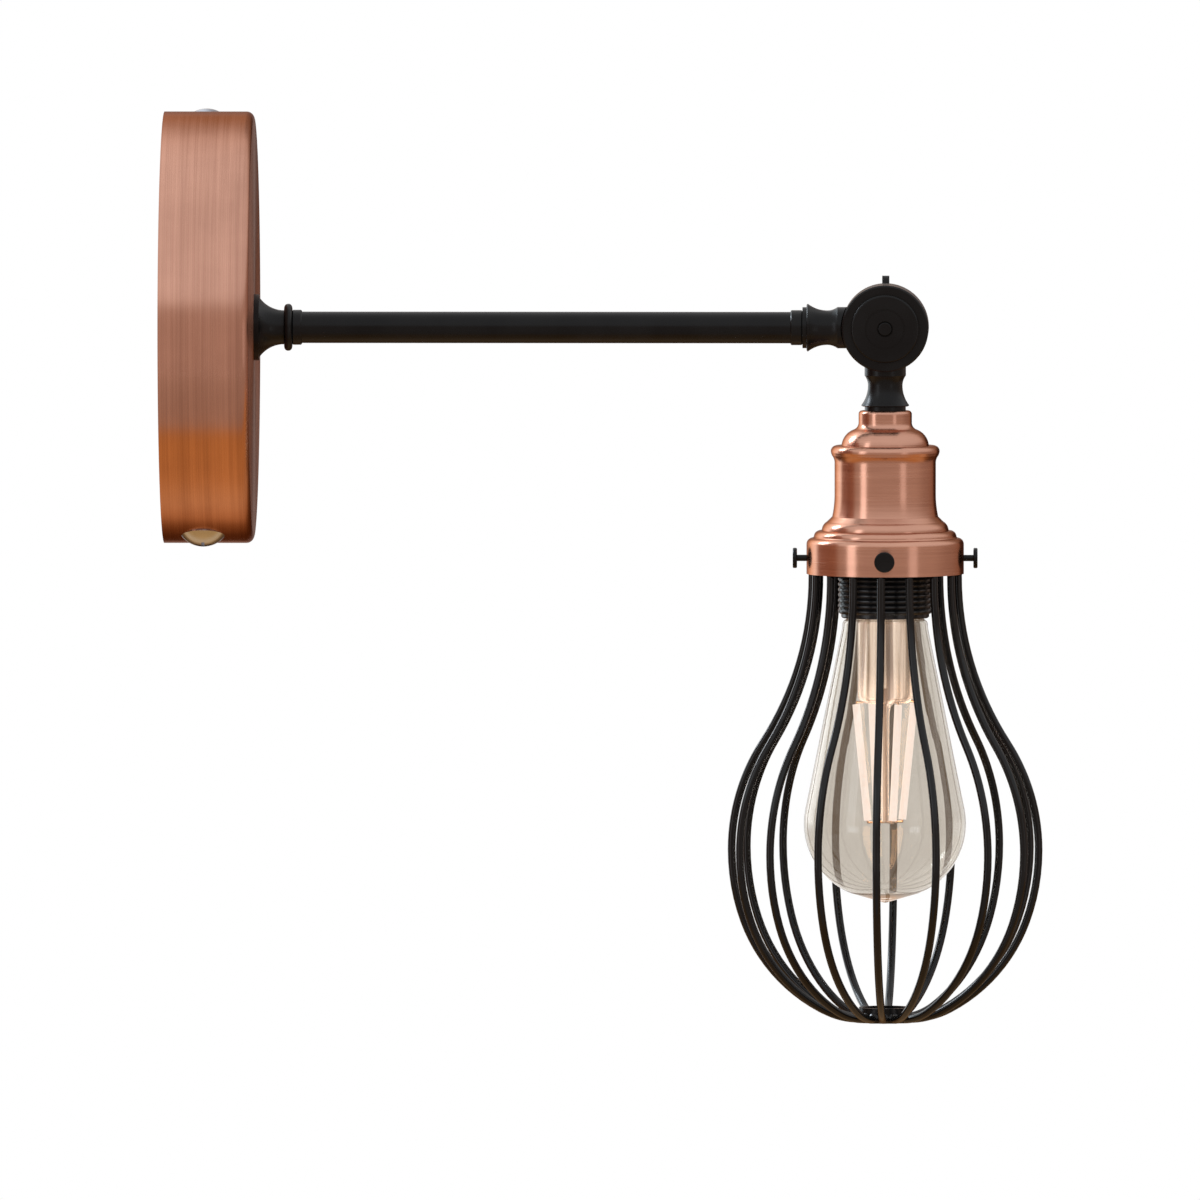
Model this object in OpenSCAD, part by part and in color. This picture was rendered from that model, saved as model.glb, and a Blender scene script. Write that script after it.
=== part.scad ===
// Cage wall light: a copper cup on the wall carries a straight black arm, a knuckle
// tilts the lampholder, and sixteen wires make the cage round a teardrop bulb.
// Millimetres. The origin is the centre of the cup where it meets the wall,
// +X points out of the wall along the arm and +Z points up.

/* [Wall cup] */
// Outer diameter of the copper cup on the wall
cup_d = 170; // [150:1:190]
// Depth of the cup, from the wall to its front face
cup_depth = 35.4; // [32:0.1:42]
// Sheet thickness of the cup
cup_wall = 1.2; // [0.8:0.1:2]
// Rounding of the cup's front edge
cup_round = 3; // [2:0.5:6]
// Turn of the wall strap and the side screws about the arm, in degrees
strap_turn = 17.5; // [0:0.5:30]

/* [Side screws] */
// Distance of the two side screws from the wall
side_screw_x = 16; // [13:0.5:19]
// Diameter of a side screw's domed head
side_head_d = 17; // [12:0.5:20]
// Height of the domed head above the cup
side_head_h = 4; // [3:0.5:6]
// Diameter of a side screw's shank
side_shank_d = 5; // [4:0.5:6]
// Width of the cross recess in a side screw's head
recess_w = 1.2; // [0.8:0.1:1.6]
// Length of the arms of the cross recess, tip to tip
recess_len = 6.4; // [4:0.2:8]
// Depth of the cross recess
recess_depth = 1.6; // [1:0.1:2.4]

/* [Wall strap] */
// Width of the steel strap
strap_w = 22; // [18:1:28]
// Thickness of the strap and of its two bent ears
strap_t = 2; // [1.5:0.1:3]
// Gap between an ear's corners and the inside of the cup
ear_gap = 0.6; // [0.3:0.1:1.5]
// Length of an ear past the side screw's axis
ear_tip = 7; // [5:0.5:9]
// Diameter of the two holes for the wall screws
wall_hole_d = 5.2; // [4.2:0.1:6]
// Distance between the two wall screw holes
wall_hole_pitch = 104; // [96:1:116]
// Diameter of the strap's middle hole for the supply cable
cable_hole_d = 14; // [10:0.5:18]
// Distance of the earth screw above the strap's middle
earth_screw_z = 26; // [20:1:34]
// Shank diameter of the earth screw
earth_screw_d = 4; // [3:0.5:5]

/* [Terminal block] */
// Width of the terminal block across the strap
terminal_w = 30; // [26:1:36]
// Length of the terminal block along the strap
terminal_len = 16; // [14:1:20]
// Height of the terminal block above the strap
terminal_h = 14; // [12:0.5:16]
// Distance of the terminal block's near face below the strap's middle
terminal_z = 24; // [22:1:28]
// Distance between two poles of the terminal block
pole_pitch = 9; // [8:0.5:10]
// Outer diameter of a pole's brass tube
pole_d = 5; // [4:0.2:6]

/* [Arm] */
// Distance of the knuckle's pivot from the wall
pivot_x = 284; // [250:1:340]
// Outer diameter of the arm tube
tube_d = 12.4; // [11.6:0.1:15]
// Outer diameter of the threaded nipples
nipple_d = 9.9; // [9.4:0.1:10.4]
// Bore of the threaded nipples
nipple_bore = 8; // [7.8:0.1:8.4]
// Length of nipple inside the cup, behind the cup's front wall
nipple_back = 9; // [8:0.5:12]
// Thickness of the nipple's nut and of the holder's locknut
nut_t = 4; // [3:0.1:5]
// Width of those nuts across their flats
nut_flats = 14; // [12:0.1:15]
// Thickness of the washer under the nipple's nut
nipple_washer_t = 1.5; // [1:0.1:2]
// Diameter of that washer
nipple_washer_d = 22; // [18:0.5:24]
// Length of nipple inside the arm tube
nipple_in_tube = 12; // [8:1:20]
// Diameter of the black flange on the cup
flange_d = 26.1; // [23:0.1:34]
// Height of the flange's flat rim
flange_rim_h = 2; // [1.2:0.1:3]
// Height of the whole flange
flange_h = 11.8; // [10:0.1:16]
// Diameter of the flange's neck
flange_neck_d = 13.4; // [13:0.1:15]
// Diameter of the round ring on the flange
ring_d = 18.6; // [16.8:0.1:24]
// Thickness of the round ring along the arm
ring_h = 3.2; // [2.4:0.1:4]
// Diameter of the ferrules at both ends of the tube
ferrule_d = 13.8; // [13:0.1:16]
// Length of the ferrule at the wall end
wall_ferrule_len = 3.8; // [2.5:0.1:8]
// Length of the ferrule at the knuckle end
knuckle_ferrule_len = 4.7; // [2.5:0.1:8]

/* [Knuckle] */
// Diameter of the knuckle's drum
drum_d = 34.2; // [31:0.1:38]
// Thickness of the drum, both halves together
drum_w = 24; // [22:0.5:28]
// Thickness of the friction washer between the halves
washer_t = 0.8; // [0.5:0.1:1.2]
// Gap between each neck and the other half's drum
neck_gap = 0.4; // [0.3:0.1:0.8]
// Wall of a drum half round its hollow
drum_wall = 3; // [2.4:0.1:4]
// Bevel round the drum's faces
drum_edge = 0.6; // [0.4:0.1:1]
// Diameter of the hub round the pivot bolt
hub_d = 12; // [11:0.1:13]
// Distance from the pivot to the end of a neck
neck_len = 32.6; // [30:0.1:40]
// Diameter of the plain spigot at a neck's end
neck_spigot_d = 16.2; // [15:0.1:18]
// Length of that spigot
neck_spigot_len = 1.6; // [1:0.1:3]
// Diameter of the raised bead next to the spigot
neck_bead_d = 19.1; // [17.6:0.1:22]
// Rounding of that bead
neck_bead_r = 0.9; // [0.6:0.1:1.2]
// Diameter of the neck's waist
neck_waist_d = 13.6; // [12.8:0.1:15]
// Distance from the pivot to the waist
neck_waist_at = 22.8; // [22:0.1:24]
// Diameter of the neck where it meets the drum
neck_root_d = 16.3; // [15.4:0.1:17]
// Distance from the pivot to the edge above the waist
neck_root_at = 18.8; // [18:0.1:19.6]
// Depth of the threaded socket in a neck's end
neck_socket = 8; // [6:0.5:9]

/* [Pivot bolt and wing nut] */
// Diameter of the pivot bolt
bolt_d = 5; // [4:0.1:6]
// Diameter of the bolt's head in its counterbore
bolt_head_d = 8.4; // [7.6:0.1:9.4]
// Height of the bolt's head
bolt_head_h = 3; // [2:0.1:4]
// Diameter of the round button on the bolt's head
button_d = 5.6; // [4.6:0.1:6.6]
// Diameter of the cover disc on the front of the drum
cover_d = 26.8; // [22:0.1:29]
// Thickness of the cover disc
cover_t = 1.8; // [1.4:0.1:2.4]
// Rounding of the cover disc's edge
cover_round = 0.9; // [0.5:0.1:1.2]
// Diameter of the groove in the cover disc
cover_groove_d = 15.2; // [12:0.1:18]
// Width of that groove
cover_groove_w = 0.7; // [0.4:0.1:1.2]
// Gap round the button in the cover disc's middle
button_gap = 0.4; // [0.2:0.1:0.8]
// Diameter of the wing nut's hub
wing_hub_d = 10; // [8.4:0.1:12]
// Length of the wing nut's hub
wing_hub_len = 5; // [4:0.1:7]
// Distance from the pivot's axis to a wing's tip
wing_reach = 19.7; // [17.6:0.1:24]
// Thickness of a wing
wing_t = 2.8; // [2:0.1:3.4]
// Rounding of a wing's tip
wing_tip_r = 3.4; // [2.4:0.1:4.2]
// Distance between the wings' roots and the nut's rear face, which leans them out
wing_lean = 5; // [3:0.1:6]
// Gap between the wing nut and the drum
wing_gap = 0.3; // [0.2:0.1:0.6]

/* [Lampholder cover] */
// Sheet thickness of the copper pieces of the holder
copper_t = 0.8; // [0.6:0.1:1]
// Diameter of the short neck at the top of the cap
cap_neck_d = 21; // [20:0.1:24]
// Height of that neck, from the knuckle to the start of its fillet
cap_neck_h = 4.8; // [4:0.1:7]
// Rounding of the cap's top edge
cap_top_r = 1.4; // [1:0.1:2]
// Radius of the hollow fillet below the neck
cap_fillet_r = 2.9; // [2:0.1:3.4]
// Diameter of the body
body_d = 39.9; // [37:0.1:44]
// How far the foot of the cap's dome is set in from the body
cap_set_in = 2.7; // [2:0.1:3.6]
// How far the bead round the body's top stands out from the body
body_bead_out = 1.5; // [1:0.1:2.4]
// Radius of that bead in section
body_bead_r = 2.25; // [1.8:0.05:2.8]
// Radius of the hollow below the bead
body_hollow_r = 4.5; // [3.5:0.1:6]
// Distance of the hollow's lowest ring below the bead
body_hollow_drop = 2.3; // [1.8:0.1:3]
// Length of the body, from the dome to the gallery
body_len = 27.4; // [25:0.1:36]
// Growth in diameter where the body flares at its foot
body_flare = 1.9; // [1:0.1:2.6]
// Length of that flare
body_flare_len = 8.8; // [7:0.1:11]

/* [Shade gallery] */
// Outer diameter of the gallery's band
gallery_d = 62; // [60:0.1:70]
// Sheet thickness of the gallery
gallery_t = 0.6; // [0.4:0.1:0.7]
// Height of the gallery's straight band
gallery_band_h = 11.7; // [11:0.1:15]
// Share of the gallery's spread, from the body's foot to the band, in the band's shoulder
step2_part = 0.287; // [0.24:0.001:0.32]
// Share of that spread in the second step
step1_part = 0.307; // [0.26:0.001:0.34]
// Height of the first step
step1_h = 5.5; // [5.2:0.1:7]
// Height of the straight part of the second step
step2_flat = 0.5; // [0.3:0.1:1.6]
// Radius of the first step's shoulder
step1_r = 4; // [3.4:0.1:4.2]
// Radius of the other two shoulders, as a share of the band's shoulder
step_round = 0.828; // [0.7:0.001:0.95]

/* [Thumb screws] */
// Diameter of a thumb screw's head
thumb_head_d = 8; // [6:0.1:10]
// Thickness of that head
thumb_head_t = 1.65; // [1.2:0.05:2.4]
// Diameter of a thumb screw's shank
thumb_shank_d = 2.5; // [2:0.1:3]
// Length of shank that shows outside the gallery
thumb_proud = 3.75; // [3:0.05:5]
// Height of the thumb screws above the gallery's lower rim
thumb_rise = 6.15; // [5.4:0.05:6.8]
// Radial gap of a running thread or shaft
running_gap = 0.05; // [0.02:0.01:0.08]
// Gap between pieces that only just miss each other
near_gap = 0.3; // [0.2:0.05:0.4]

/* [Lampholder] */
// Gap between the black ribbed skirt and the copper body round it
skirt_gap = 0.55; // [0.3:0.05:1]
// Wall of the skirt
skirt_wall = 2; // [1.6:0.1:2.4]
// Length of skirt that shows below the gallery, with its lip
skirt_show = 17.4; // [14:0.1:24]
// Length of skirt inside the copper body, above the gallery
skirt_in_body = 8; // [6:0.5:10]
// Distance from one rib of the skirt to the next
rib_pitch = 2.1; // [1.8:0.1:3]
// Depth of the groove between two ribs
rib_depth = 0.7; // [0.4:0.05:0.9]
// How far the lip at the skirt's foot is set in from the ribs
lip_in = 1.25; // [0.8:0.05:2]
// Height of that lip
lip_h = 1.7; // [1.2:0.1:2.4]
// Gap between the bulb's cap and the opening in the lip
lip_room = 1.4; // [1:0.1:1.8]
// Gap between the bulb's cap and the brass screw shell
shell_gap = 0.35; // [0.3:0.05:0.6]
// Wall of the brass screw shell
shell_wall = 0.4; // [0.3:0.05:0.6]
// Length of the holder's insert
insert_len = 49; // [45:0.5:52]
// Height of the insert's foot above the lip
insert_rise = 1.2; // [0.8:0.1:2]
// Slope round the insert's top
insert_slope = 3; // [2:0.5:4]
// Diameter of the centre contact's rim
contact_d = 11; // [9:0.5:13]
// Height of the centre contact
contact_h = 2.6; // [2:0.1:3.4]
// Height of the ring that holds the gallery on the skirt
shade_ring_h = 3.4; // [2.6:0.1:4.4]
// Width of that ring round the skirt
shade_ring_w = 1.4; // [1:0.1:2]

/* [Bulb] */
// Largest diameter of the bulb's glass
bulb_d = 64; // [60:0.1:70]
// Length of the whole bulb, from its contact to its tip
bulb_len = 140; // [134:0.5:150]
// Length of the bulb that shows below the lampholder
bulb_show = 112.5; // [108:0.5:118]
// Distance of the glass's widest ring from its tip
bulb_wide_at = 31.2; // [30:0.1:34]
// Diameter of the glass at its neck
bulb_neck_d = 33.8; // [33:0.1:35.6]
// Rounding of the glass under the lampholder's lip
bulb_neck_r = 2.4; // [1.6:0.1:3]
// Radius of the bend where the glass leaves its neck
bulb_hollow_r = 12; // [8:0.5:30]
// Radius of the bend above the widest place
bulb_side_r = 30; // [24:0.5:50]
// Radius of the glass's round bottom
bulb_bottom_r = 29.5; // [26:0.1:31]
// Angle at which that curve ends and the cone to the tip starts
bulb_bottom_angle = 68; // [62:0.5:74]
// Radius of the little glass tip
bulb_tip_r = 2.6; // [2:0.1:3.2]
// Thickness of the glass
glass_t = 0.9; // [0.6:0.1:1.2]
// Diameter of the screw cap over its thread
cap_thread_d = 26.2; // [25.8:0.05:26.4]
// Depth of the cap's thread
cap_thread_depth = 0.9; // [0.5:0.05:1.1]
// Pitch of the cap's thread
cap_thread_pitch = 3.63; // [3:0.01:4]
// Number of turns of the cap's thread
cap_turns = 4; // [3:1:5]
// Length of plain cap below the thread
cap_plain_len = 5; // [4:0.1:6]
// Length of the whole cap with its contact
cap_len = 26.6; // [25.4:0.1:28]
// Width of the rolled rim round the cap's foot
cap_rim = 0.3; // [0.2:0.05:0.6]
// Thickness of the cap's sheet
cap_skin = 0.5; // [0.4:0.05:0.6]
// Thickness of the black insulator where the cap holds it
insulator_t = 2.5; // [2:0.1:3]
// Diameter of the bulb's foot contact
bulb_contact_d = 9.2; // [8:0.1:11]
// Height of the bulb's foot contact
bulb_contact_h = 1.2; // [0.8:0.1:1.6]
// Height of the glass flare that carries the stem
stem_flare_h = 6.5; // [5:0.1:9]
// Diameter of the stem
stem_d = 6.8; // [5:0.1:9]
// Rounding of the stem's lower end
stem_round = 1.4; // [1:0.1:2]
// Number of lamp filaments
filament_count = 4; // [2:1:6]
// Diameter of a filament
filament_d = 3; // [1.8:0.1:3.2]
// Length of a filament
filament_len = 46; // [38:0.5:50]
// Diameter of the circle of the filaments' upper ends
filament_top_d = 25; // [20:0.5:28]
// Diameter of the circle of the filaments' lower ends
filament_foot_d = 15; // [12:0.5:20]
// Turn of the first filament from the arm's direction, in degrees
filament_turn = 25; // [0:1:90]
// Distance from the lampholder's lip to the filaments' upper ends
filament_drop = 34; // [32:0.5:38]
// Diameter of the filaments' support wires
support_d = 0.7; // [0.5:0.1:1]
// Diameter of the middle support rod
support_rod_d = 1.4; // [1:0.1:2]
// Distance of the level support wires past the filaments' ends
support_reach = 1; // [0.8:0.1:2]

/* [Cage] */
// Number of wires
wire_count = 16; // [12:1:16]
// Diameter of a wire
wire_d = 3.1; // [2.4:0.1:3.2]
// Turn of the first wire from the front, in degrees
cage_turn = 2.7; // [0:0.1:10]
// Diameter of the cage at its widest, between wire centres
cage_d = 121.2; // [110:0.1:140]
// Distance of the widest ring below the pivot
cage_wide_at = 206; // [200:0.5:214]
// Distance of the cage's foot below the pivot
cage_foot_at = 274; // [268:0.5:284]
// Length of straight wire below the cage's collar
wire_neck = 3.3; // [3:0.1:8]
// Radius of the cage's side above its widest ring
cage_side_r = 78; // [70:0.5:86]
// Radius of the cage's side just below its widest ring
cage_belly_r = 82; // [76:0.5:88]
// Angle of that stretch, in degrees
belly_angle = 20; // [15:0.5:25]
// Angle where the cage turns into its foot, in degrees
foot_angle = 62; // [58:0.5:66]
// Diameter of the ring at the cage's foot
foot_ring_d = 20.6; // [20:0.1:26]
// Height of the ring at the cage's foot
foot_ring_h = 5.9; // [4:0.1:8]
// Wall of the ring at the cage's foot
foot_ring_wall = 1.4; // [1:0.1:2]
// Height of the collar's foot above the gallery's lower rim
collar_rise = 2.1; // [1.6:0.1:2.6]
// Wall of the collar that carries the wires
collar_t = 1; // [0.8:0.1:1.2]
// Depth of the weld of a wire in the collar
weld = 0.4; // [0.2:0.05:0.6]
// Width and thickness of the collar's lip over the thumb screws
collar_lip = 1.2; // [1:0.1:1.4]
// Height of the collar
collar_h = 9.2; // [8.6:0.1:10]

/* [Wiring] */
// Diameter of an insulated wire inside the lamp
lead_d = 1.6; // [1.2:0.05:1.65]
// Gap between the two wires side by side
lead_gap = 0.1; // [0.06:0.01:0.2]
// Bend radius of the wires behind the arm
lead_bend_r = 7; // [5:0.5:9]

/* [Hidden] */

$fn = 64;
arc_steps = 10;
cut = 1;                       // how far a cutter runs past what it cuts
copper = "#b97b62";
black = "#232527";
steel = "#b9bcc0";
brass = "#c9a55a";
white = "#e9e6df";
brown = "#33271f";
smoke = "#b9a58f80";

cup_r = cup_d / 2;
cup_bore_r = cup_r - cup_wall;
ear_out = sqrt(pow(cup_bore_r, 2) - pow(strap_w / 2, 2)) - ear_gap;
ear_in = ear_out - strap_t;
ear_len = side_screw_x + ear_tip;
screw_clear_d = side_shank_d + 1;
pole_x = strap_t + terminal_h / 2;

nipple_hole_d = nipple_d + 2 * running_gap;
cup_inner_x = cup_depth - cup_wall;
nipple_start = cup_depth - nipple_back;
flange_end = cup_depth + flange_h;
ring_end = flange_end + ring_h;
tube_end = pivot_x - neck_len;

drum_r = drum_d / 2;
half_w = drum_w / 2;
seam = washer_t / 2;
hollow_r = drum_r - drum_wall;
hollow_floor = half_w - drum_wall;
hub_r = hub_d / 2;
counterbore_d = bolt_head_d + 2 * near_gap;
bolt_seat = half_w - bolt_head_h;
cover_bore_d = button_d + 2 * button_gap;
wing_start = half_w + wing_gap;
wing_end = wing_start + wing_hub_len;
bolt_end = wing_end + 3;
lead_bore_d = nipple_bore;
lead_y = seam + lead_gap + lead_d / 2;
lead_pitch = lead_d + lead_gap;
lead_stop = hub_r + lead_d;
lead_in = 3 * lead_d;            // length of lead inside the holder's insert

cap_top = -neck_len;
fillet_z = cap_top - cap_neck_h;
cap_dome_d = body_d - 2 * cap_set_in;
body_bead_d = body_d + 2 * body_bead_out;
shoulder = 70;                  // where the cap's fillet turns into its dome, in degrees
cap_dome_r = (cap_dome_d / 2 - cap_neck_d / 2) / (1 - cos(shoulder)) - cap_fillet_r;
dome_z = fillet_z - (cap_fillet_r + cap_dome_r) * sin(shoulder);
dome_end = 5;                   // where the cap's dome meets the body, in degrees
body_top = dome_z + cap_dome_r * sin(dome_end);
bead_z = body_top - body_bead_r;
gallery_top = dome_z - body_len;
spread = (gallery_d - body_d - body_flare) / 2;
step2_in = step2_part * spread;
step1_in = step1_part * spread;
step_r = step_round * step2_in;
step1_z = gallery_top - step1_h;
step2_z = step1_z - step_r - step2_flat;
gallery_foot = step2_z - step_r - gallery_band_h;
step2_d = gallery_d - 2 * step2_in;
step1_d = step2_d - 2 * step1_in;
gallery_bore_r = gallery_d / 2 - gallery_t;
thumb_z = gallery_foot + thumb_rise;

skirt_d = body_d - 2 * copper_t - 2 * skirt_gap;
skirt_r = skirt_d / 2;
skirt_foot = gallery_foot - skirt_show;
skirt_top = gallery_top + skirt_in_body;
lip_d = skirt_d - 2 * lip_in;
lip_bore = cap_thread_d + 2 * lip_room;
shell_bore = cap_thread_d + 2 * shell_gap;
skirt_bore_r = skirt_r - skirt_wall;
rib_count = floor((skirt_show - lip_h) / rib_pitch);
insert_r = skirt_bore_r - running_gap;
insert_foot = skirt_foot + lip_h + insert_rise;
insert_top = insert_foot + insert_len;
bulb_tip = skirt_foot - bulb_show;
bulb_top = bulb_tip + bulb_len;
contact_z = bulb_top + near_gap;
shell_top = contact_z;
cap_root_r = cap_thread_d / 2 - cap_thread_depth;
cap_bore_r = cap_root_r - cap_skin;
cap_foot = bulb_top - cap_len;
cap_top_z = cap_foot + cap_plain_len + cap_turns * cap_thread_pitch + cap_skin;
insulator_r = cap_root_r / 2;
throat_r = cap_bore_r - 2 * running_gap;
throat_z = cap_foot + cap_plain_len / 2;

wire_r = wire_d / 2;
wire_sides = 8;
butt_gap = 0.03;                // between a wire's end and the foot ring's round face
collar_foot = gallery_foot + collar_rise;
collar_top = collar_foot + collar_h;
collar_gap = 0.1;
wire_top_r = gallery_bore_r - collar_gap - wire_r;
collar_r = wire_top_r - wire_r + weld;
thumb_tip = collar_r + near_gap;
thumb_head_at = gallery_d / 2 + thumb_proud;

// Points on an arc about [x, y], from angle a to angle b
function arc(x, y, r, a, b) =
    [for (i = [0:arc_steps]) let (t = a + (b - a) * i / arc_steps)
        [x + r * cos(t), y + r * sin(t)]];
function rest(list) = [for (i = [1:len(list) - 1]) list[i]];
function flipped(list) = [for (i = [len(list) - 1:-1:0]) list[i]];
function shifted(list, dx, dy) = [for (p = list) [p[0] + dx, p[1] + dy]];

// Local +Z lies along the world's +X
module along_x(x = 0) {
    translate([x, 0, 0]) rotate([0, 90, 0]) children();
}

// Local +Z lies along the world's -Y, towards the front of the knuckle
module to_front(y = 0) {
    translate([pivot_x, -y, 0]) rotate([90, 0, 0]) children();
}

// Local +Z lies along the world's +Y, towards the rear of the knuckle
module to_rear(y = 0) {
    translate([pivot_x, y, 0]) rotate([-90, 0, 0]) children();
}

module at_head(z = 0) {
    translate([pivot_x, 0, z]) children();
}

module strap_frame() {
    rotate([-strap_turn, 0, 0]) children();
}

module tube(d_out, d_in, h) {
    difference() {
        cylinder(d = d_out, h = h);
        translate([0, 0, -cut]) cylinder(d = d_in, h = h + 2 * cut);
    }
}

module turned(points) {
    rotate_extrude() polygon(points);
}

// ---- wall side ----

module wall_cup() {
    side = cup_depth - cup_round;
    color(copper) difference() {
        along_x() turned(concat([[0, 0], [cup_r, 0]],
            arc(cup_r - cup_round, side, cup_round, 0, 90), [[0, cup_depth]]));
        along_x() turned(concat([[0, -cut], [cup_bore_r, -cut]],
            arc(cup_r - cup_round, side, cup_round - cup_wall, 0, 90), [[0, cup_inner_x]]));
        along_x() cylinder(d = nipple_hole_d, h = cup_depth + cut);
        strap_frame() translate([side_screw_x, 0, -cup_d])
            cylinder(d = screw_clear_d, h = 2 * cup_d);
    }
}

module wall_strap() {
    color(steel) strap_frame() difference() {
        union() {
            translate([0, -strap_w / 2, -ear_out]) cube([strap_t, strap_w, 2 * ear_out]);
            for (s = [0, 1]) mirror([0, 0, s])
                translate([0, -strap_w / 2, ear_in]) cube([ear_len, strap_w, strap_t]);
        }
        translate([-cut, 0, 0]) rotate([0, 90, 0]) cylinder(d = cable_hole_d, h = strap_t + 2 * cut);
        for (s = [-1, 1]) translate([-cut, 0, s * wall_hole_pitch / 2])
            rotate([0, 90, 0]) cylinder(d = wall_hole_d, h = strap_t + 2 * cut);
        translate([-cut, 0, earth_screw_z]) rotate([0, 90, 0])
            cylinder(d = earth_screw_d, h = strap_t + 2 * cut);
        translate([side_screw_x, 0, -cup_d]) cylinder(d = side_shank_d, h = 2 * cup_d);
    }
}

module side_screws() {
    head_r = side_head_d / 2;
    dome_r = (pow(head_r, 2) + pow(side_head_h, 2)) / (2 * side_head_h);
    rim = asin(head_r / dome_r);
    top_z = cup_r + side_head_h;
    tail = 0.6 * side_shank_d;
    color(steel) strap_frame() for (s = [0, 1]) mirror([0, 0, s])
        translate([side_screw_x, 0, 0]) difference() {
            union() {
                difference() {
                    turned(concat([[0, cup_r - cut], [head_r, cup_r - cut]],
                        arc(0, top_z - dome_r, dome_r, 90 - rim, 90)));
                    // the head's underside follows the cup
                    translate([-side_head_d, 0, 0]) rotate([0, 90, 0])
                        cylinder(d = cup_d, h = 2 * side_head_d, $fn = 360);
                }
                translate([0, 0, ear_in - tail])
                    cylinder(d = side_shank_d, h = cup_r + side_head_h / 4 - ear_in + tail);
            }
            for (t = [0, 90]) rotate([0, 0, t])
                translate([-recess_len / 2, -recess_w / 2, top_z - recess_depth])
                    cube([recess_len, recess_w, recess_depth + cut]);
        }
}

module earth_screw() {
    head_d = 2 * earth_screw_d;
    head_h = 0.65 * earth_screw_d;
    slot_w = earth_screw_d / 4;
    color(brass) strap_frame() translate([0, 0, earth_screw_z]) rotate([0, 90, 0])
        difference() {
            union() {
                cylinder(d = earth_screw_d, h = strap_t + head_h);
                translate([0, 0, strap_t]) cylinder(d = head_d, h = head_h);
            }
            translate([-head_d / 2 - cut, -slot_w / 2, strap_t + head_h - slot_w])
                cube([head_d + 2 * cut, slot_w, slot_w + cut]);
        }
}

module terminal_block() {
    color(white) strap_frame() difference() {
        translate([strap_t, -terminal_w / 2, -terminal_z - terminal_len])
            cube([terminal_h, terminal_w, terminal_len]);
        for (i = [-1:1]) translate([pole_x, i * pole_pitch, -terminal_z - terminal_len - cut])
            cylinder(d = pole_d, h = terminal_len + 2 * cut);
        for (i = [-1:1]) translate([pole_x, i * pole_pitch, -terminal_z - terminal_len / 2])
            rotate([0, 90, 0]) cylinder(d = 0.8 * pole_d, h = terminal_h);
    }
}

module terminal_poles() {
    wire_hole_d = 1.25 * lead_d;
    set_in = pole_d / 5;
    color(brass) strap_frame() for (i = [-1:1])
        translate([pole_x, i * pole_pitch, -terminal_z - terminal_len / 2]) difference() {
            union() {
                translate([0, 0, -terminal_len / 2 + set_in])
                    cylinder(d = pole_d, h = terminal_len - 2 * set_in);
                rotate([0, 90, 0]) cylinder(d = 0.72 * pole_d, h = terminal_h / 2 - set_in);
            }
            translate([0, 0, -terminal_len]) cylinder(d = wire_hole_d, h = 2 * terminal_len);
        }
}

module nipple_washer() {
    color(steel) along_x(cup_inner_x - nipple_washer_t)
        tube(nipple_washer_d, nipple_hole_d, nipple_washer_t);
}

module nipple_nut() {
    color(brass) along_x(cup_inner_x - nipple_washer_t - nut_t) hex_nut(nut_flats, nut_t);
}

module hex_nut(flats, h) {
    difference() {
        cylinder(d = flats / cos(30), h = h, $fn = 6);
        translate([0, 0, -cut]) cylinder(d = nipple_hole_d, h = h + 2 * cut);
    }
}

module nipple(h) {
    tube(nipple_d, nipple_bore, h);
}

module wall_nipple() {
    color(steel) along_x(nipple_start) nipple(ring_end + nipple_in_tube - nipple_start);
}

// ---- arm ----

module arm_flange() {
    rim_r = flange_d / 2;
    neck_r = flange_neck_d / 2;
    sweep_r = flange_h - flange_rim_h;
    rim_in = 1.2;
    reach = rim_r - rim_in - neck_r;
    // the hollow side is an arc from the rim to the neck
    side_r = (pow(sweep_r, 2) + pow(reach, 2)) / (2 * reach);
    turn = asin(sweep_r / side_r);
    color(black) along_x(cup_depth) difference() {
        turned(concat([[0, 0], [rim_r, 0], [rim_r, flange_rim_h]],
            arc(neck_r + side_r, flange_h, side_r, 180 + turn, 180), [[0, flange_h]]));
        translate([0, 0, -cut]) cylinder(d = nipple_hole_d, h = flange_h + 2 * cut);
    }
}

module flange_ring() {
    bulge = ring_h / 2;
    color(black) along_x(flange_end) difference() {
        turned(concat([[0, 0]], arc(ring_d / 2 - bulge, bulge, bulge, -90, 90), [[0, ring_h]]));
        translate([0, 0, -cut]) cylinder(d = nipple_hole_d, h = ring_h + 2 * cut);
    }
}

module ferrule(h) {
    edge = 0.4;
    r = ferrule_d / 2;
    difference() {
        turned([[0, 0], [r - edge, 0], [r, edge], [r, h - edge], [r - edge, h], [0, h]]);
        translate([0, 0, -cut]) cylinder(d = tube_d, h = h + 2 * cut);
    }
}

module wall_ferrule() {
    color(black) along_x(ring_end) ferrule(wall_ferrule_len);
}

module arm_tube() {
    color(black) along_x(ring_end) tube(tube_d, nipple_hole_d, tube_end - ring_end);
}

module knuckle_ferrule() {
    color(black) along_x(tube_end - knuckle_ferrule_len) ferrule(knuckle_ferrule_len);
}

module knuckle_nipple() {
    color(steel) along_x(tube_end - nipple_in_tube) nipple(nipple_in_tube + neck_socket);
}

// ---- knuckle ----

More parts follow.
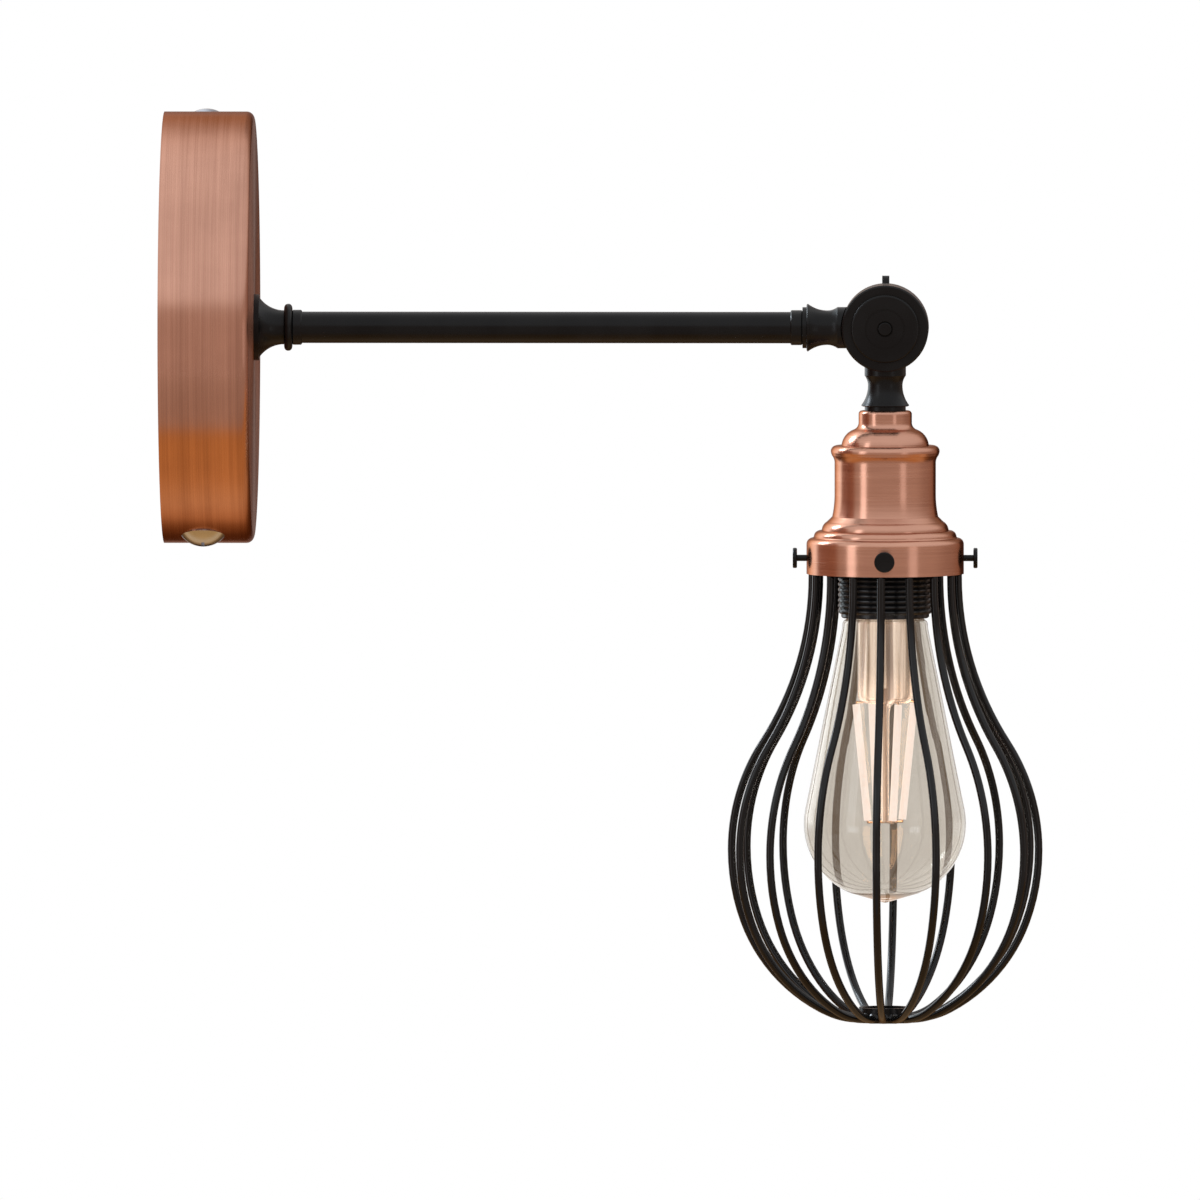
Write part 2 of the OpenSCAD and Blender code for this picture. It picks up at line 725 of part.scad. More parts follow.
// The turned neck, from the pivot outwards along +Z
module neck_form() {
    root_r = neck_root_d / 2;
    waist_r = neck_waist_d / 2;
    bead_r = neck_bead_d / 2;
    bead_at = neck_len - neck_spigot_len - neck_bead_r;
    run_in = neck_waist_at - neck_root_at;
    rise_in = root_r - waist_r;
    in_r = (pow(run_in, 2) + pow(rise_in, 2)) / (2 * rise_in);
    run_out = bead_at - neck_waist_at;
    bead_in = 0.4;
    rise_out = bead_r - bead_in - waist_r;
    out_r = (pow(run_out, 2) + pow(rise_out, 2)) / (2 * rise_out);
    turned(concat([[0, hub_r], [root_r, hub_r]],
        arc(waist_r + in_r, neck_waist_at, in_r, 180 + asin(run_in / in_r), 180),
        arc(waist_r + out_r, neck_waist_at, out_r, 180, 180 - asin(run_out / out_r)),
        arc(bead_r - neck_bead_r, bead_at, neck_bead_r, 30, 90),
        [[neck_spigot_d / 2, neck_len - neck_spigot_len], [neck_spigot_d / 2, neck_len],
        [0, neck_len]]));
}

// One half of the knuckle: its drum lies from the seam towards local +Z and its
// neck points along local +X. The neck is scooped round the other half's drum.
module knuckle_half(bolt_hole_d, counterbore) {
    difference() {
        union() {
            turned([[0, seam], [drum_r, seam], [drum_r, half_w - drum_edge],
                [drum_r - drum_edge, half_w], [0, half_w]]);
            difference() {
                rotate([0, 90, 0]) neck_form();
                translate([0, 0, seam - drum_w]) cylinder(r = drum_r + neck_gap, h = drum_w);
            }
        }
        difference() {
            translate([0, 0, seam - cut]) cylinder(r = hollow_r, h = hollow_floor - seam + cut);
            cylinder(r = hub_r, h = half_w);
        }
        translate([0, 0, -drum_w]) cylinder(d = bolt_hole_d, h = 2 * drum_w);
        if (counterbore)
            translate([0, 0, bolt_seat]) cylinder(d = counterbore_d, h = bolt_head_h + cut);
        translate([hub_r + cut, 0, 0]) rotate([0, 90, 0]) cylinder(d = lead_bore_d, h = neck_len);
        translate([neck_len - neck_socket, 0, 0]) rotate([0, 90, 0])
            cylinder(d = nipple_hole_d, h = neck_socket + cut);
    }
}

module knuckle_arm_half() {
    color(black) to_rear() rotate([0, 0, 180])
        knuckle_half(bolt_d + 2 * running_gap, false);
}

module knuckle_lamp_half() {
    color(black) to_front() rotate([0, 0, -90]) knuckle_half(bolt_d, true);
}

module friction_washer() {
    color(brown) to_front(-seam) tube(drum_d - 2 * drum_edge, 2 * hollow_r, washer_t);
}

module knuckle_cover() {
    r = cover_d / 2;
    edge = cover_t - cover_round;
    color(black) to_front(half_w) difference() {
        turned(concat([[0, 0], [r, 0]], arc(r - cover_round, edge, cover_round, 0, 90),
            [[0, cover_t]]));
        translate([0, 0, -cut]) cylinder(d = cover_bore_d, h = cover_t + 2 * cut);
        translate([0, 0, cover_t - cover_groove_w / 2])
            tube(cover_groove_d + cover_groove_w, cover_groove_d - cover_groove_w, cover_t);
    }
}

module pivot_bolt() {
    button_r = button_d / 2;
    edge = 0.6;
    set_in = 0.2;
    color(black) {
        to_front(-bolt_end) cylinder(d = bolt_d, h = bolt_end + bolt_seat + cut);
        to_front(bolt_seat) cylinder(d = bolt_head_d, h = bolt_head_h);
        to_front(half_w - cut) turned(concat([[0, 0], [button_r, 0]],
            arc(button_r - edge, cut + cover_t - set_in - edge, edge, 0, 90),
            [[0, cut + cover_t - set_in]]));
    }
}

module wing_nut() {
    hub_r_nut = wing_hub_d / 2;
    root_r = 0.62 * hub_r_nut;
    tip_y = wing_start + wing_lean + wing_tip_r;
    color(black) difference() {
        union() {
            to_rear(wing_start) cylinder(d1 = wing_hub_d, d2 = 0.84 * wing_hub_d, h = wing_hub_len);
            for (s = [0, 1]) translate([pivot_x - wing_t / 2, 0, 0]) mirror([0, 0, s])
                rotate([90, 0, 90]) linear_extrude(height = wing_t) {
                    polygon([[wing_start, root_r], [wing_end, root_r],
                        [tip_y + wing_tip_r, wing_reach - wing_tip_r],
                        [tip_y - wing_tip_r, wing_reach - wing_tip_r],
                        [wing_start, 1.2 * hub_r_nut]]);
                    translate([tip_y, wing_reach - wing_tip_r]) circle(r = wing_tip_r);
                }
        }
        to_rear() cylinder(d = bolt_d + 2 * running_gap, h = 2 * bolt_end);
    }
}

// ---- lampholder ----

module holder_nipple() {
    below = 2.5 * nut_t;
    color(steel) at_head(cap_top - below) nipple(below + neck_socket);
}

module holder_locknut() {
    color(brass) at_head(cap_top - copper_t - nut_t) hex_nut(nut_flats, nut_t);
}

function cap_side() = concat(
    arc(cap_neck_d / 2 - cap_top_r, cap_top - cap_top_r, cap_top_r, 90, 0),
    arc(cap_neck_d / 2 + cap_fillet_r, fillet_z, cap_fillet_r, 180, 180 + shoulder),
    rest(arc(cap_dome_d / 2 - cap_dome_r, dome_z, cap_dome_r, shoulder, dome_end)));

module holder_cap() {
    outer = cap_side();
    foot = outer[len(outer) - 1];
    color(copper) at_head() turned(concat(
        [[nipple_hole_d / 2, cap_top]], outer,
        [[foot[0] - copper_t, body_top]],
        flipped(shifted([for (p = outer) if (p[1] > body_top + copper_t) p],
            -copper_t, -copper_t)),
        [[nipple_hole_d / 2, cap_top - copper_t]]));
}

function body_side() = concat(
    arc(body_bead_d / 2 - body_bead_r, bead_z, body_bead_r, 90, -25),
    arc(body_d / 2 + body_hollow_r, bead_z - body_bead_r - body_hollow_drop, body_hollow_r, 140, 180),
    arc(body_d / 2 + flare_r(), gallery_top + body_flare_len, flare_r(), 180, 180 + flare_turn()));
function flare_r() =
    (pow(body_flare_len, 2) + pow(body_flare / 2, 2)) / body_flare;
function flare_turn() = asin(body_flare_len / flare_r());

module holder_body() {
    outer = body_side();
    foot_r = body_d / 2 + body_flare / 2;
    seat_r = cap_dome_d / 2 - 2 * copper_t;
    color(copper) at_head() turned(concat(
        [[seat_r, body_top]], outer, [[foot_r - copper_t, gallery_top]],
        flipped(shifted([for (p = outer) if (p[1] > gallery_top + copper_t) p],
            -copper_t, -copper_t)),
        [[seat_r, body_top - copper_t]]));
}

module shade_gallery() {
    foot_r = body_d / 2 + body_flare / 2;
    band_r = gallery_d / 2;
    hole_r = skirt_r + running_gap;
    outer = concat(
        [[foot_r, gallery_top]],
        arc(step1_d / 2 - step1_r, step1_z, step1_r, 60, 0),
        arc(step2_d / 2 - step_r, step1_z - step_r, step_r, 90, 0),
        arc(band_r - step_r, step2_z - step_r, step_r, 90, 0));
    color(copper) difference() {
        at_head() turned(concat([[hole_r, gallery_top]], outer,
            [[band_r, gallery_foot], [gallery_bore_r, gallery_foot]],
            flipped(shifted(outer, -gallery_t, -gallery_t)),
            [[hole_r, gallery_top - gallery_t]]));
        at_head(thumb_z) for (t = [0, 90]) rotate([0, 90, t])
            translate([0, 0, -gallery_d]) cylinder(d = thumb_shank_d + 2 * running_gap, h = 2 * gallery_d);
    }
}

module shade_ring() {
    color(black) at_head(gallery_top - gallery_t - shade_ring_h)
        tube(skirt_d + 2 * shade_ring_w, skirt_d + 2 * running_gap, shade_ring_h);
}

// The ribs stand where the skirt shows, each with a rounded crest
module holder_skirt() {
    lip_top = skirt_foot + lip_h;
    half = rib_pitch / 2;
    crest = rib_depth / 7;
    edge = 0.3 * lip_h;
    ribs = [for (i = [0:rib_count - 1], k = [0:3])
        let (z = lip_top + i * rib_pitch)
        [skirt_r - [rib_depth, crest, 0, crest][k], z + half * [0, 0.6, 1, 1.4][k]]];
    color(black) at_head() difference() {
        turned(concat([[0, skirt_foot], [lip_d / 2 - edge, skirt_foot], [lip_d / 2, skirt_foot + edge],
            [lip_d / 2, lip_top]], ribs,
            [[skirt_r - rib_depth, lip_top + rib_count * rib_pitch],
            [skirt_r, lip_top + rib_count * rib_pitch + crest],
            [skirt_r, skirt_top], [0, skirt_top]]));
        translate([0, 0, skirt_foot - cut]) cylinder(d = lip_bore, h = skirt_top - skirt_foot);
        translate([0, 0, lip_top]) cylinder(r = skirt_bore_r, h = skirt_top - lip_top + cut);
    }
}

module holder_insert() {
    shell_out = shell_bore / 2 + shell_wall;
    lead_hole_d = lead_d + 2 * lead_gap;
    color(black) at_head() difference() {
        turned([[0, insert_foot], [insert_r, insert_foot], [insert_r, insert_top - insert_slope],
            [insert_r - insert_slope, insert_top], [0, insert_top]]);
        translate([0, 0, insert_foot - cut]) cylinder(r = shell_out, h = shell_top - insert_foot + cut);
        translate([0, 0, shell_top - cut]) cylinder(d = contact_d, h = contact_z + contact_h - shell_top + cut);
        for (i = [0, 1]) translate([0, -lead_y - i * lead_pitch, insert_top - lead_in - lead_d / 2])
            cylinder(d = lead_hole_d, h = lead_in + lead_d / 2 + cut);
    }
}

module screw_shell() {
    set_in = 2 * shell_wall;
    color(brass) at_head(insert_foot + set_in)
        tube(shell_bore + 2 * shell_wall, shell_bore, shell_top - insert_foot - set_in);
}

module centre_contact() {
    r = contact_d / 2;
    h = contact_h;
    color(brass) at_head(contact_z)
        turned([[0, 0], [0.6 * r, 0], [0.75 * r, 0.3 * h], [r, 0.8 * h], [r, h], [0, h]]);
}

// ---- cage ----

module cage_collar() {
    lip_r = collar_r + collar_lip;
    flange_r = gallery_bore_r - 2 * collar_gap;
    color(steel) at_head() turned([
        [collar_r - collar_t, collar_foot], [flange_r, collar_foot],
        [flange_r, collar_foot + collar_lip], [collar_r, collar_foot + collar_lip],
        [collar_r, collar_top - collar_lip], [lip_r, collar_top - collar_lip],
        [lip_r, collar_top], [collar_r - collar_t, collar_top]]);
}

// The centre line of one wire, in the plane of its radius and height: straight
// under the collar, out along two opposed arcs to the widest ring, and in along
// three arcs to the ring at the foot. Each point holds [radius, height, heading].
function wire_line() =
    let (wide_r = cage_d / 2, wide_z = -cage_wide_at, start_z = collar_foot - wire_neck,
        out = wide_r - wire_top_r, down = start_z - wide_z, s_angle = 2 * atan(out / down),
        hollow = down / sin(s_angle) - cage_side_r,
        foot_z = -cage_foot_at + wire_r, foot_r = foot_ring_d / 2,
        // the middle and the foot arc end level, over the foot ring
        v = wide_z - foot_z - cage_belly_r * sin(belly_angle),
        h = wide_r - foot_r - cage_belly_r * (1 - cos(belly_angle)),
        a1 = sin(foot_angle) - sin(belly_angle), a2 = 1 - sin(foot_angle),
        b1 = cos(belly_angle) - cos(foot_angle), b2 = cos(foot_angle),
        det = a1 * b2 - a2 * b1,
        middle = (v * b2 - h * a2) / det, last = (h * a1 - v * b1) / det,
        belly_x = wide_r - cage_belly_r,
        middle_x = belly_x + (cage_belly_r - middle) * cos(belly_angle),
        middle_z = wide_z - (cage_belly_r - middle) * sin(belly_angle),
        last_x = middle_x + (middle - last) * cos(foot_angle),
        last_z = middle_z - (middle - last) * sin(foot_angle))
    concat(
        [[wire_top_r, collar_foot, 0]],
        [for (i = [0:6]) let (t = 180 + s_angle * i / 6)
            [wire_top_r + hollow * (1 + cos(t)), start_z + hollow * sin(t), t - 180]],
        [for (i = [1:5]) let (t = s_angle * (1 - i / 5))
            [wide_r - cage_side_r + cage_side_r * cos(t), wide_z + cage_side_r * sin(t), t]],
        [for (i = [1:3]) let (t = -belly_angle * i / 3)
            [belly_x + cage_belly_r * cos(t), wide_z + cage_belly_r * sin(t), t]],
        [for (i = [1:5]) let (t = -belly_angle - (foot_angle - belly_angle) * i / 5)
            [middle_x + middle * cos(t), middle_z + middle * sin(t), t]],
        [for (i = [1:4]) let (t = -foot_angle - (90 - foot_angle) * i / 4)
            [last_x + last * cos(t), last_z + last * sin(t), t]]);

// A ring of points about a point of the line, square to its heading
function wire_ring(p) = [for (k = [0:wire_sides - 1]) let (t = 360 * k / wire_sides)
    [p[0] + wire_r * cos(t) * cos(p[2]), wire_r * sin(t), p[1] + wire_r * cos(t) * sin(p[2])]];

// The last ring lies on the foot ring's round face, so that the wire butts on it
function wire_foot(z) = let (r = foot_ring_d / 2 + butt_gap)
    [for (k = [0:wire_sides - 1]) let (t = 360 * k / wire_sides, y = wire_r * sin(t))
        [sqrt(r * r - y * y), y, z - wire_r * cos(t)]];

function turned_about_z(p, t) = [p[0] * cos(t) - p[1] * sin(t), p[0] * sin(t) + p[1] * cos(t), p[2]];

// All the wires, swept as one polyhedron of separate closed tubes
module cage_wires() {
    line = wire_line();
    last = line[len(line) - 1];
    start = [line[0][0], 0, line[0][1]];
    end = [foot_ring_d / 2 + butt_gap, 0, last[1]];
    rings = concat([for (p = line) wire_ring(p)], [wire_foot(last[1])]);
    wire = concat([for (ring = rings) each ring], [start, end]);
    n = wire_sides;
    count = len(wire);
    start_i = count - 2;
    end_i = count - 1;
    foot_i = count - 2 - n;
    faces = concat(
        [for (r = [0:len(rings) - 2], k = [0:n - 1])
            let (a = r * n + k, b = r * n + (k + 1) % n) each [[a, a + n, b], [b, a + n, b + n]]],
        [for (k = [0:n - 1]) [start_i, k, (k + 1) % n]],
        [for (k = [0:n - 1]) [end_i, foot_i + (k + 1) % n, foot_i + k]]);
    color(black) at_head() polyhedron(
        points = [for (i = [0:wire_count - 1], p = wire)
            turned_about_z(p, -90 - cage_turn + i * 360 / wire_count)],
        faces = [for (i = [0:wire_count - 1], f = faces) [for (j = f) j + i * count]]);
}

module cage_foot_ring() {
    color(black) at_head(-cage_foot_at)
        tube(foot_ring_d, foot_ring_d - 2 * foot_ring_wall, foot_ring_h);
}

// A thumb screw on the +X side of the gallery, turned to its own side
module thumb_screw(turn) {
    head_r = thumb_head_d / 2;
    edge = 0.3;
    color(black) at_head(thumb_z) rotate([0, 0, turn]) rotate([0, 90, 0]) {
        translate([0, 0, thumb_tip]) cylinder(d = thumb_shank_d, h = thumb_head_at - thumb_tip + 0.5);
        translate([0, 0, thumb_head_at]) turned([[0, 0], [head_r - edge, 0], [head_r, edge],
            [head_r, thumb_head_t - edge], [head_r - edge, thumb_head_t], [0, thumb_head_t]]);
    }
}

// ---- bulb ----

// The glass's outline, set in by w from its outer face
function glass_side(w) =
    let (wide_r = bulb_d / 2, wide_z = bulb_tip + bulb_wide_at, neck_r = bulb_neck_d / 2,
        neck_z = skirt_foot - near_gap - bulb_neck_r,
        out = wide_r - neck_r, down = neck_z - wide_z, bends = bulb_hollow_r + bulb_side_r,
        // the slope of the straight flank, which touches both bends
        s = atan2(down, bends - out) - acos(bends / norm([down, bends - out])),
        bottom_x = wide_r - bulb_bottom_r)
    concat(
        arc(neck_r - bulb_neck_r, neck_z, bulb_neck_r - w, 80, 0),
        arc(neck_r + bulb_hollow_r, neck_z, bulb_hollow_r + w, 180, 180 + s),
        arc(wide_r - bulb_side_r, wide_z, bulb_side_r - w, s, 0),
        arc(bottom_x, wide_z, bulb_bottom_r - w, -1, -bulb_bottom_angle));

module bulb_glass() {
    neck_z = skirt_foot - near_gap;
    color(smoke) at_head() difference() {
        turned(concat([[0, throat_z], [throat_r, throat_z], [throat_r, neck_z]], glass_side(0),
            arc(0, bulb_tip + bulb_tip_r, bulb_tip_r, -70, -90)));
        turned(concat([[0, throat_z + cut], [throat_r - glass_t, throat_z + cut],
            [throat_r - glass_t, neck_z - glass_t]], glass_side(glass_t),
            [[0, bulb_tip + bulb_tip_r + glass_t]]));
    }
}

module bulb_cap() {
    crest = cap_thread_d / 2;
    root = cap_root_r;
    foot = cap_foot;
    rim_r = crest + cap_rim;
    thread_foot = foot + cap_plain_len;
    thread = [for (i = [0:cap_turns - 1], k = [0:2])
        [[root, crest, root][k], thread_foot + (i + [0, 0.5, 0.98][k]) * cap_thread_pitch]];
    color(steel) at_head() difference() {
        turned(concat([[0, foot], [rim_r, foot], [rim_r, foot + 4 * cap_rim], [root, thread_foot - cap_rim]],
            thread, [[root - 3 * cap_skin, cap_top_z], [0, cap_top_z]]));
        translate([0, 0, foot - cut])
            cylinder(r = cap_bore_r, h = cap_top_z - foot - insulator_t + cut);
        translate([0, 0, foot]) cylinder(r = insulator_r, h = cap_len);
    }
}

module bulb_insulator() {
    low = cap_top_z - insulator_t;
    high = bulb_top - bulb_contact_h;
    color(black) at_head() turned([[0, low], [insulator_r, low], [insulator_r, cap_top_z],
        [cap_root_r - 5 * cap_skin, cap_top_z], [insulator_r, high], [0, high]]);
}

module bulb_contact() {
    r = bulb_contact_d / 2;
    round_r = 0.8 * bulb_contact_h;
    low = bulb_top - bulb_contact_h;
    color(steel) at_head() turned(concat([[0, low], [r, low]],
        arc(r - round_r, bulb_top - round_r, round_r, 0, 90)));
}

module bulb_stem() {
    flare_r = throat_r - glass_t;
    flare_top = throat_z + stem_round;
    stem_foot = skirt_foot - filament_drop + support_reach + 5;
    color(smoke) at_head() turned(concat([[0, flare_top], [flare_r, flare_top],
        [flare_r, throat_z + stem_round / 3]],
        arc(flare_r, throat_z - stem_flare_h, flare_r - stem_d / 2, 100, 180),
        arc(stem_d / 2 - stem_round, stem_foot + stem_round, stem_round, 0, -90), [[0, stem_foot]]));
}

module at_filaments() {
    at_head(skirt_foot - filament_drop) for (i = [0:filament_count - 1])
        rotate([0, 0, filament_turn + i * 360 / filament_count]) children();
}

module filaments() {
    lean = asin((filament_top_d - filament_foot_d) / 2 / filament_len);
    color("#ffd9b8") at_filaments() translate([filament_top_d / 2, 0, 0]) rotate([0, 180 + lean, 0])
        cylinder(d = filament_d, h = filament_len);
}

module filament_wires() {
    lean = asin((filament_top_d - filament_foot_d) / 2 / filament_len);
    drop = filament_len * cos(lean);
    top_r = filament_top_d / 2;
    foot_r = filament_foot_d / 2;
    // a filament's end is square to its lean, so its wire starts just past it
    start = filament_d / 2 * sin(lean) + running_gap;
    tick = support_reach + support_d / 2;
    color(steel) {
        at_filaments() {
            translate([0, 0, support_reach]) rotate([0, 90, 0]) cylinder(d = support_d, h = top_r);
            translate([top_r, 0, start]) cylinder(d = support_d, h = tick - start);
            translate([0, 0, -drop - support_reach]) rotate([0, 90, 0])
                cylinder(d = support_d, h = foot_r);
            translate([foot_r, 0, -drop - tick]) cylinder(d = support_d, h = tick - start);
        }
        at_head(skirt_foot - filament_drop - drop - tick)
            cylinder(d = support_rod_d, h = drop + tick + support_reach + 5);
    }
}

// ---- wiring ----

// From the terminal block, up behind the arm and along it into the knuckle
module arm_leads() {
    end_x = pivot_x - lead_stop;
    bend_x = pole_x + lead_bend_r;
    color(brown) for (i = [0, 1]) {
        y = lead_y + i * lead_pitch;
        pole_y = (2 * i - 1) * pole_pitch;
        to_y = pole_y * cos(strap_turn) - terminal_z * sin(strap_turn) - y;
        to_z = -pole_y * sin(strap_turn) - terminal_z * cos(strap_turn);
        run = sqrt(to_y * to_y + to_z * to_z);
        translate([0, y, 0]) {
            translate([bend_x, 0, 0]) rotate([0, 90, 0]) cylinder(d = lead_d, h = end_x - bend_x);
            rotate([atan2(to_y, -to_z), 0, 0]) {
                translate([bend_x, 0, -lead_bend_r]) rotate([90, 0, 0]) rotate([0, 0, 90])
                    rotate_extrude(angle = 90) translate([lead_bend_r, 0]) circle(d = lead_d);
                translate([pole_x, 0, -run]) cylinder(d = lead_d, h = run - lead_bend_r);
            }
        }
    }
}

module head_leads() {
    color(brown) for (i = [0, 1])
        translate([pivot_x, -lead_y - i * lead_pitch, insert_top - lead_in])
            cylinder(d = lead_d, h = -lead_stop - insert_top + lead_in);
}

wall_cup();
wall_strap();
side_screws();
earth_screw();
terminal_block();
terminal_poles();
nipple_washer();
nipple_nut();
wall_nipple();
arm_flange();
flange_ring();
wall_ferrule();
arm_tube();
knuckle_ferrule();
knuckle_nipple();
knuckle_arm_half();
arm_leads();
friction_washer();
knuckle_lamp_half();
knuckle_cover();
pivot_bolt();
wing_nut();
holder_nipple();
holder_locknut();
holder_cap();
holder_body();
shade_gallery();
shade_ring();
holder_skirt();
holder_insert();
screw_shell();
centre_contact();
head_leads();
cage_collar();
cage_wires();
cage_foot_ring();
thumb_screw(-90);  // thumb_screw_front
thumb_screw(90);  // thumb_screw_rear
thumb_screw(180);  // thumb_screw_left
thumb_screw(0);  // thumb_screw_right
bulb_glass();
bulb_cap();
bulb_insulator();
bulb_contact();
bulb_stem();
filaments();
filament_wires();
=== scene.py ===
"""Looks of the cage wall light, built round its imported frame.

The scene is in metres. The origin is the centre of the copper cup where it meets
the wall, +X points out along the arm and +Z points up. The outlines of the turned
and bent pieces are given in millimetres.
"""

import math

import bmesh
import bpy
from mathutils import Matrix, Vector


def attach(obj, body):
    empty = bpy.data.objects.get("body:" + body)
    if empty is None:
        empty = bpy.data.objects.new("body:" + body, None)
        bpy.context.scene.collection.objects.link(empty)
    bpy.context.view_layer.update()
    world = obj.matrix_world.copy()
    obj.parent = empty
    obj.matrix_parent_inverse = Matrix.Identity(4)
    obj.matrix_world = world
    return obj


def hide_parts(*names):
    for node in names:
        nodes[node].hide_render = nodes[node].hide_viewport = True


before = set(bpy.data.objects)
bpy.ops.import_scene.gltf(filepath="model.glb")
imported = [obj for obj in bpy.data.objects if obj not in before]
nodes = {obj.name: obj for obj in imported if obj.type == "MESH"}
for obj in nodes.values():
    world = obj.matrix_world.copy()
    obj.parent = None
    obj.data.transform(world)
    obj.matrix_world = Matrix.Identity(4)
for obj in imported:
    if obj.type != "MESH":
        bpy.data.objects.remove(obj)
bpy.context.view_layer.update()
MM = 0.001

PIVOT_X = 284.0


# ---- camera ----

TURN, RISE = math.radians(1.05), math.radians(2.9)
AIM_RIGHT, AIM_UP, DISTANCE = 0.1716, -0.1075, 12.0
SENSOR_MM, PICTURE_WIDTH = 36, 0.4728


def add_camera():
    """A long lens, turned a little towards +X and raised a little."""
    right = Vector((math.cos(TURN), math.sin(TURN), 0))
    back = Vector((math.sin(TURN) * math.cos(RISE), -math.cos(TURN) * math.cos(RISE), math.sin(RISE)))
    up = back.cross(right)
    data = bpy.data.cameras.new("camera")
    data.sensor_width = SENSOR_MM
    data.lens = SENSOR_MM * DISTANCE / PICTURE_WIDTH
    data.clip_end = 5 * DISTANCE
    camera = bpy.data.objects.new("camera", data)
    bpy.context.scene.collection.objects.link(camera)
    camera.location = AIM_RIGHT * right + AIM_UP * up + back * DISTANCE
    camera.rotation_euler = back.to_track_quat("Z", "Y").to_euler()
    bpy.context.scene.camera = camera
    bpy.context.scene.view_settings.view_transform = "Standard"


# ---- node helpers ----

class Tree:
    """Short names for the shader nodes that the materials use."""

    def __init__(self, name):
        self.mat = bpy.data.materials.new(name)
        self.mat.use_nodes = True
        self.nt = self.mat.node_tree
        self.bsdf = self.nt.nodes["Principled BSDF"]

    def add(self, kind, **props):
        node = self.nt.nodes.new(kind)
        for key, value in props.items():
            setattr(node, key, value)
        return node

    def link(self, out, socket):
        self.nt.links.new(out, socket)

    def feed(self, socket, value):
        """Sets a number or a colour on the socket, and links anything else to it."""
        if isinstance(value, (int, float)):
            socket.default_value = value
        elif isinstance(value, tuple):
            socket.default_value = (*value, 1)
        else:
            self.link(value, socket)

    def set(self, **values):
        for key, value in values.items():
            self.feed(self.bsdf.inputs[key.replace("_", " ")], value)

    def math(self, op, a, b=None, clamp=False):
        node = self.add("ShaderNodeMath", operation=op, use_clamp=clamp)
        self.feed(node.inputs[0], a)
        if b is not None:
            self.feed(node.inputs[1], b)
        return node.outputs[0]

    def plus(self, a, b, clamp=False):
        return self.math("ADD", a, b, clamp)

    def times(self, a, b):
        return self.math("MULTIPLY", a, b)

    def length(self, a, b):
        """The length of the flat vector (a, b)."""
        return self.math("SQRT", self.plus(self.times(a, a), self.times(b, b)))

    def combine(self, x, y, z):
        node = self.add("ShaderNodeCombineXYZ")
        for socket, value in zip(node.inputs, (x, y, z)):
            self.feed(socket, value)
        return node.outputs[0]

    def split(self, vector):
        node = self.add("ShaderNodeSeparateXYZ")
        self.link(vector, node.inputs[0])
        return node.outputs

    def place(self):
        return self.add("ShaderNodeTexCoord").outputs["Object"]

    def direction(self):
        """The parts x, y and z of a direction in the world's nodes."""
        return self.split(self.add("ShaderNodeTexCoord").outputs["Generated"])

    def rays(self):
        return self.add("ShaderNodeLightPath").outputs

    def soft(self, value, low, high):
        """0 at low and before it, 1 at high and past it, smooth between."""
        node = self.add("ShaderNodeMapRange", interpolation_type="SMOOTHSTEP")
        node.inputs["From Min"].default_value = low
        node.inputs["From Max"].default_value = high
        self.link(value, node.inputs["Value"])
        return node.outputs[0]

    def span(self, value, low, high, to_low, to_high):
        """Maps low ... high to to_low ... to_high, and holds the ends."""
        node = self.add("ShaderNodeMapRange")
        ends = {"From Min": low, "From Max": high, "To Min": to_low, "To Max": to_high}
        for key, number in ends.items():
            node.inputs[key].default_value = number
        self.link(value, node.inputs["Value"])
        return node.outputs[0]

    def noise(self, vector, scale=1.0, detail=2.0, rough=0.5):
        node = self.add("ShaderNodeTexNoise")
        node.inputs["Scale"].default_value = scale
        node.inputs["Detail"].default_value = detail
        node.inputs["Roughness"].default_value = rough
        self.link(vector, node.inputs["Vector"])
        return node.outputs[0]

    def ramp(self, value, stops):
        node = self.add("ShaderNodeValToRGB")
        ramp = node.color_ramp
        while len(ramp.elements) < len(stops):
            ramp.elements.new(0.5)
        for element, (at, colour) in zip(ramp.elements, stops):
            element.position = at
            element.color = (*colour, 1)
        self.link(value, node.inputs[0])
        return node.outputs[0]

    def mix(self, fac, a, b):
        """Colour a where fac is 0, colour b where it is 1."""
        node = self.add("ShaderNodeMix", data_type="RGBA")
        for i, value in ((0, fac), (6, a), (7, b)):
            self.feed(node.inputs[i], value)
        return node.outputs[2]

    def bump(self, height, strength, distance):
        node = self.add("ShaderNodeBump")
        node.inputs["Strength"].default_value = strength
        node.inputs["Distance"].default_value = distance
        self.link(height, node.inputs["Height"])
        self.link(node.outputs[0], self.bsdf.inputs["Normal"])


def lathe(t, axis):
    """(height along the axis, radius, cosine, sine) for a piece turned about the arm's axis
    ("x") or about the lamp's ("z"), in metres."""
    x, y, z = t.split(t.place())
    if axis == "x":
        along, a, b = x, y, z
    else:
        along, a, b = z, t.math("SUBTRACT", x, PIVOT_X * MM), y
    radius = t.length(a, b)
    held = t.math("MAXIMUM", radius, 0.0001)
    return along, radius, t.math("DIVIDE", a, held), t.math("DIVIDE", b, held)


# ---- materials ----

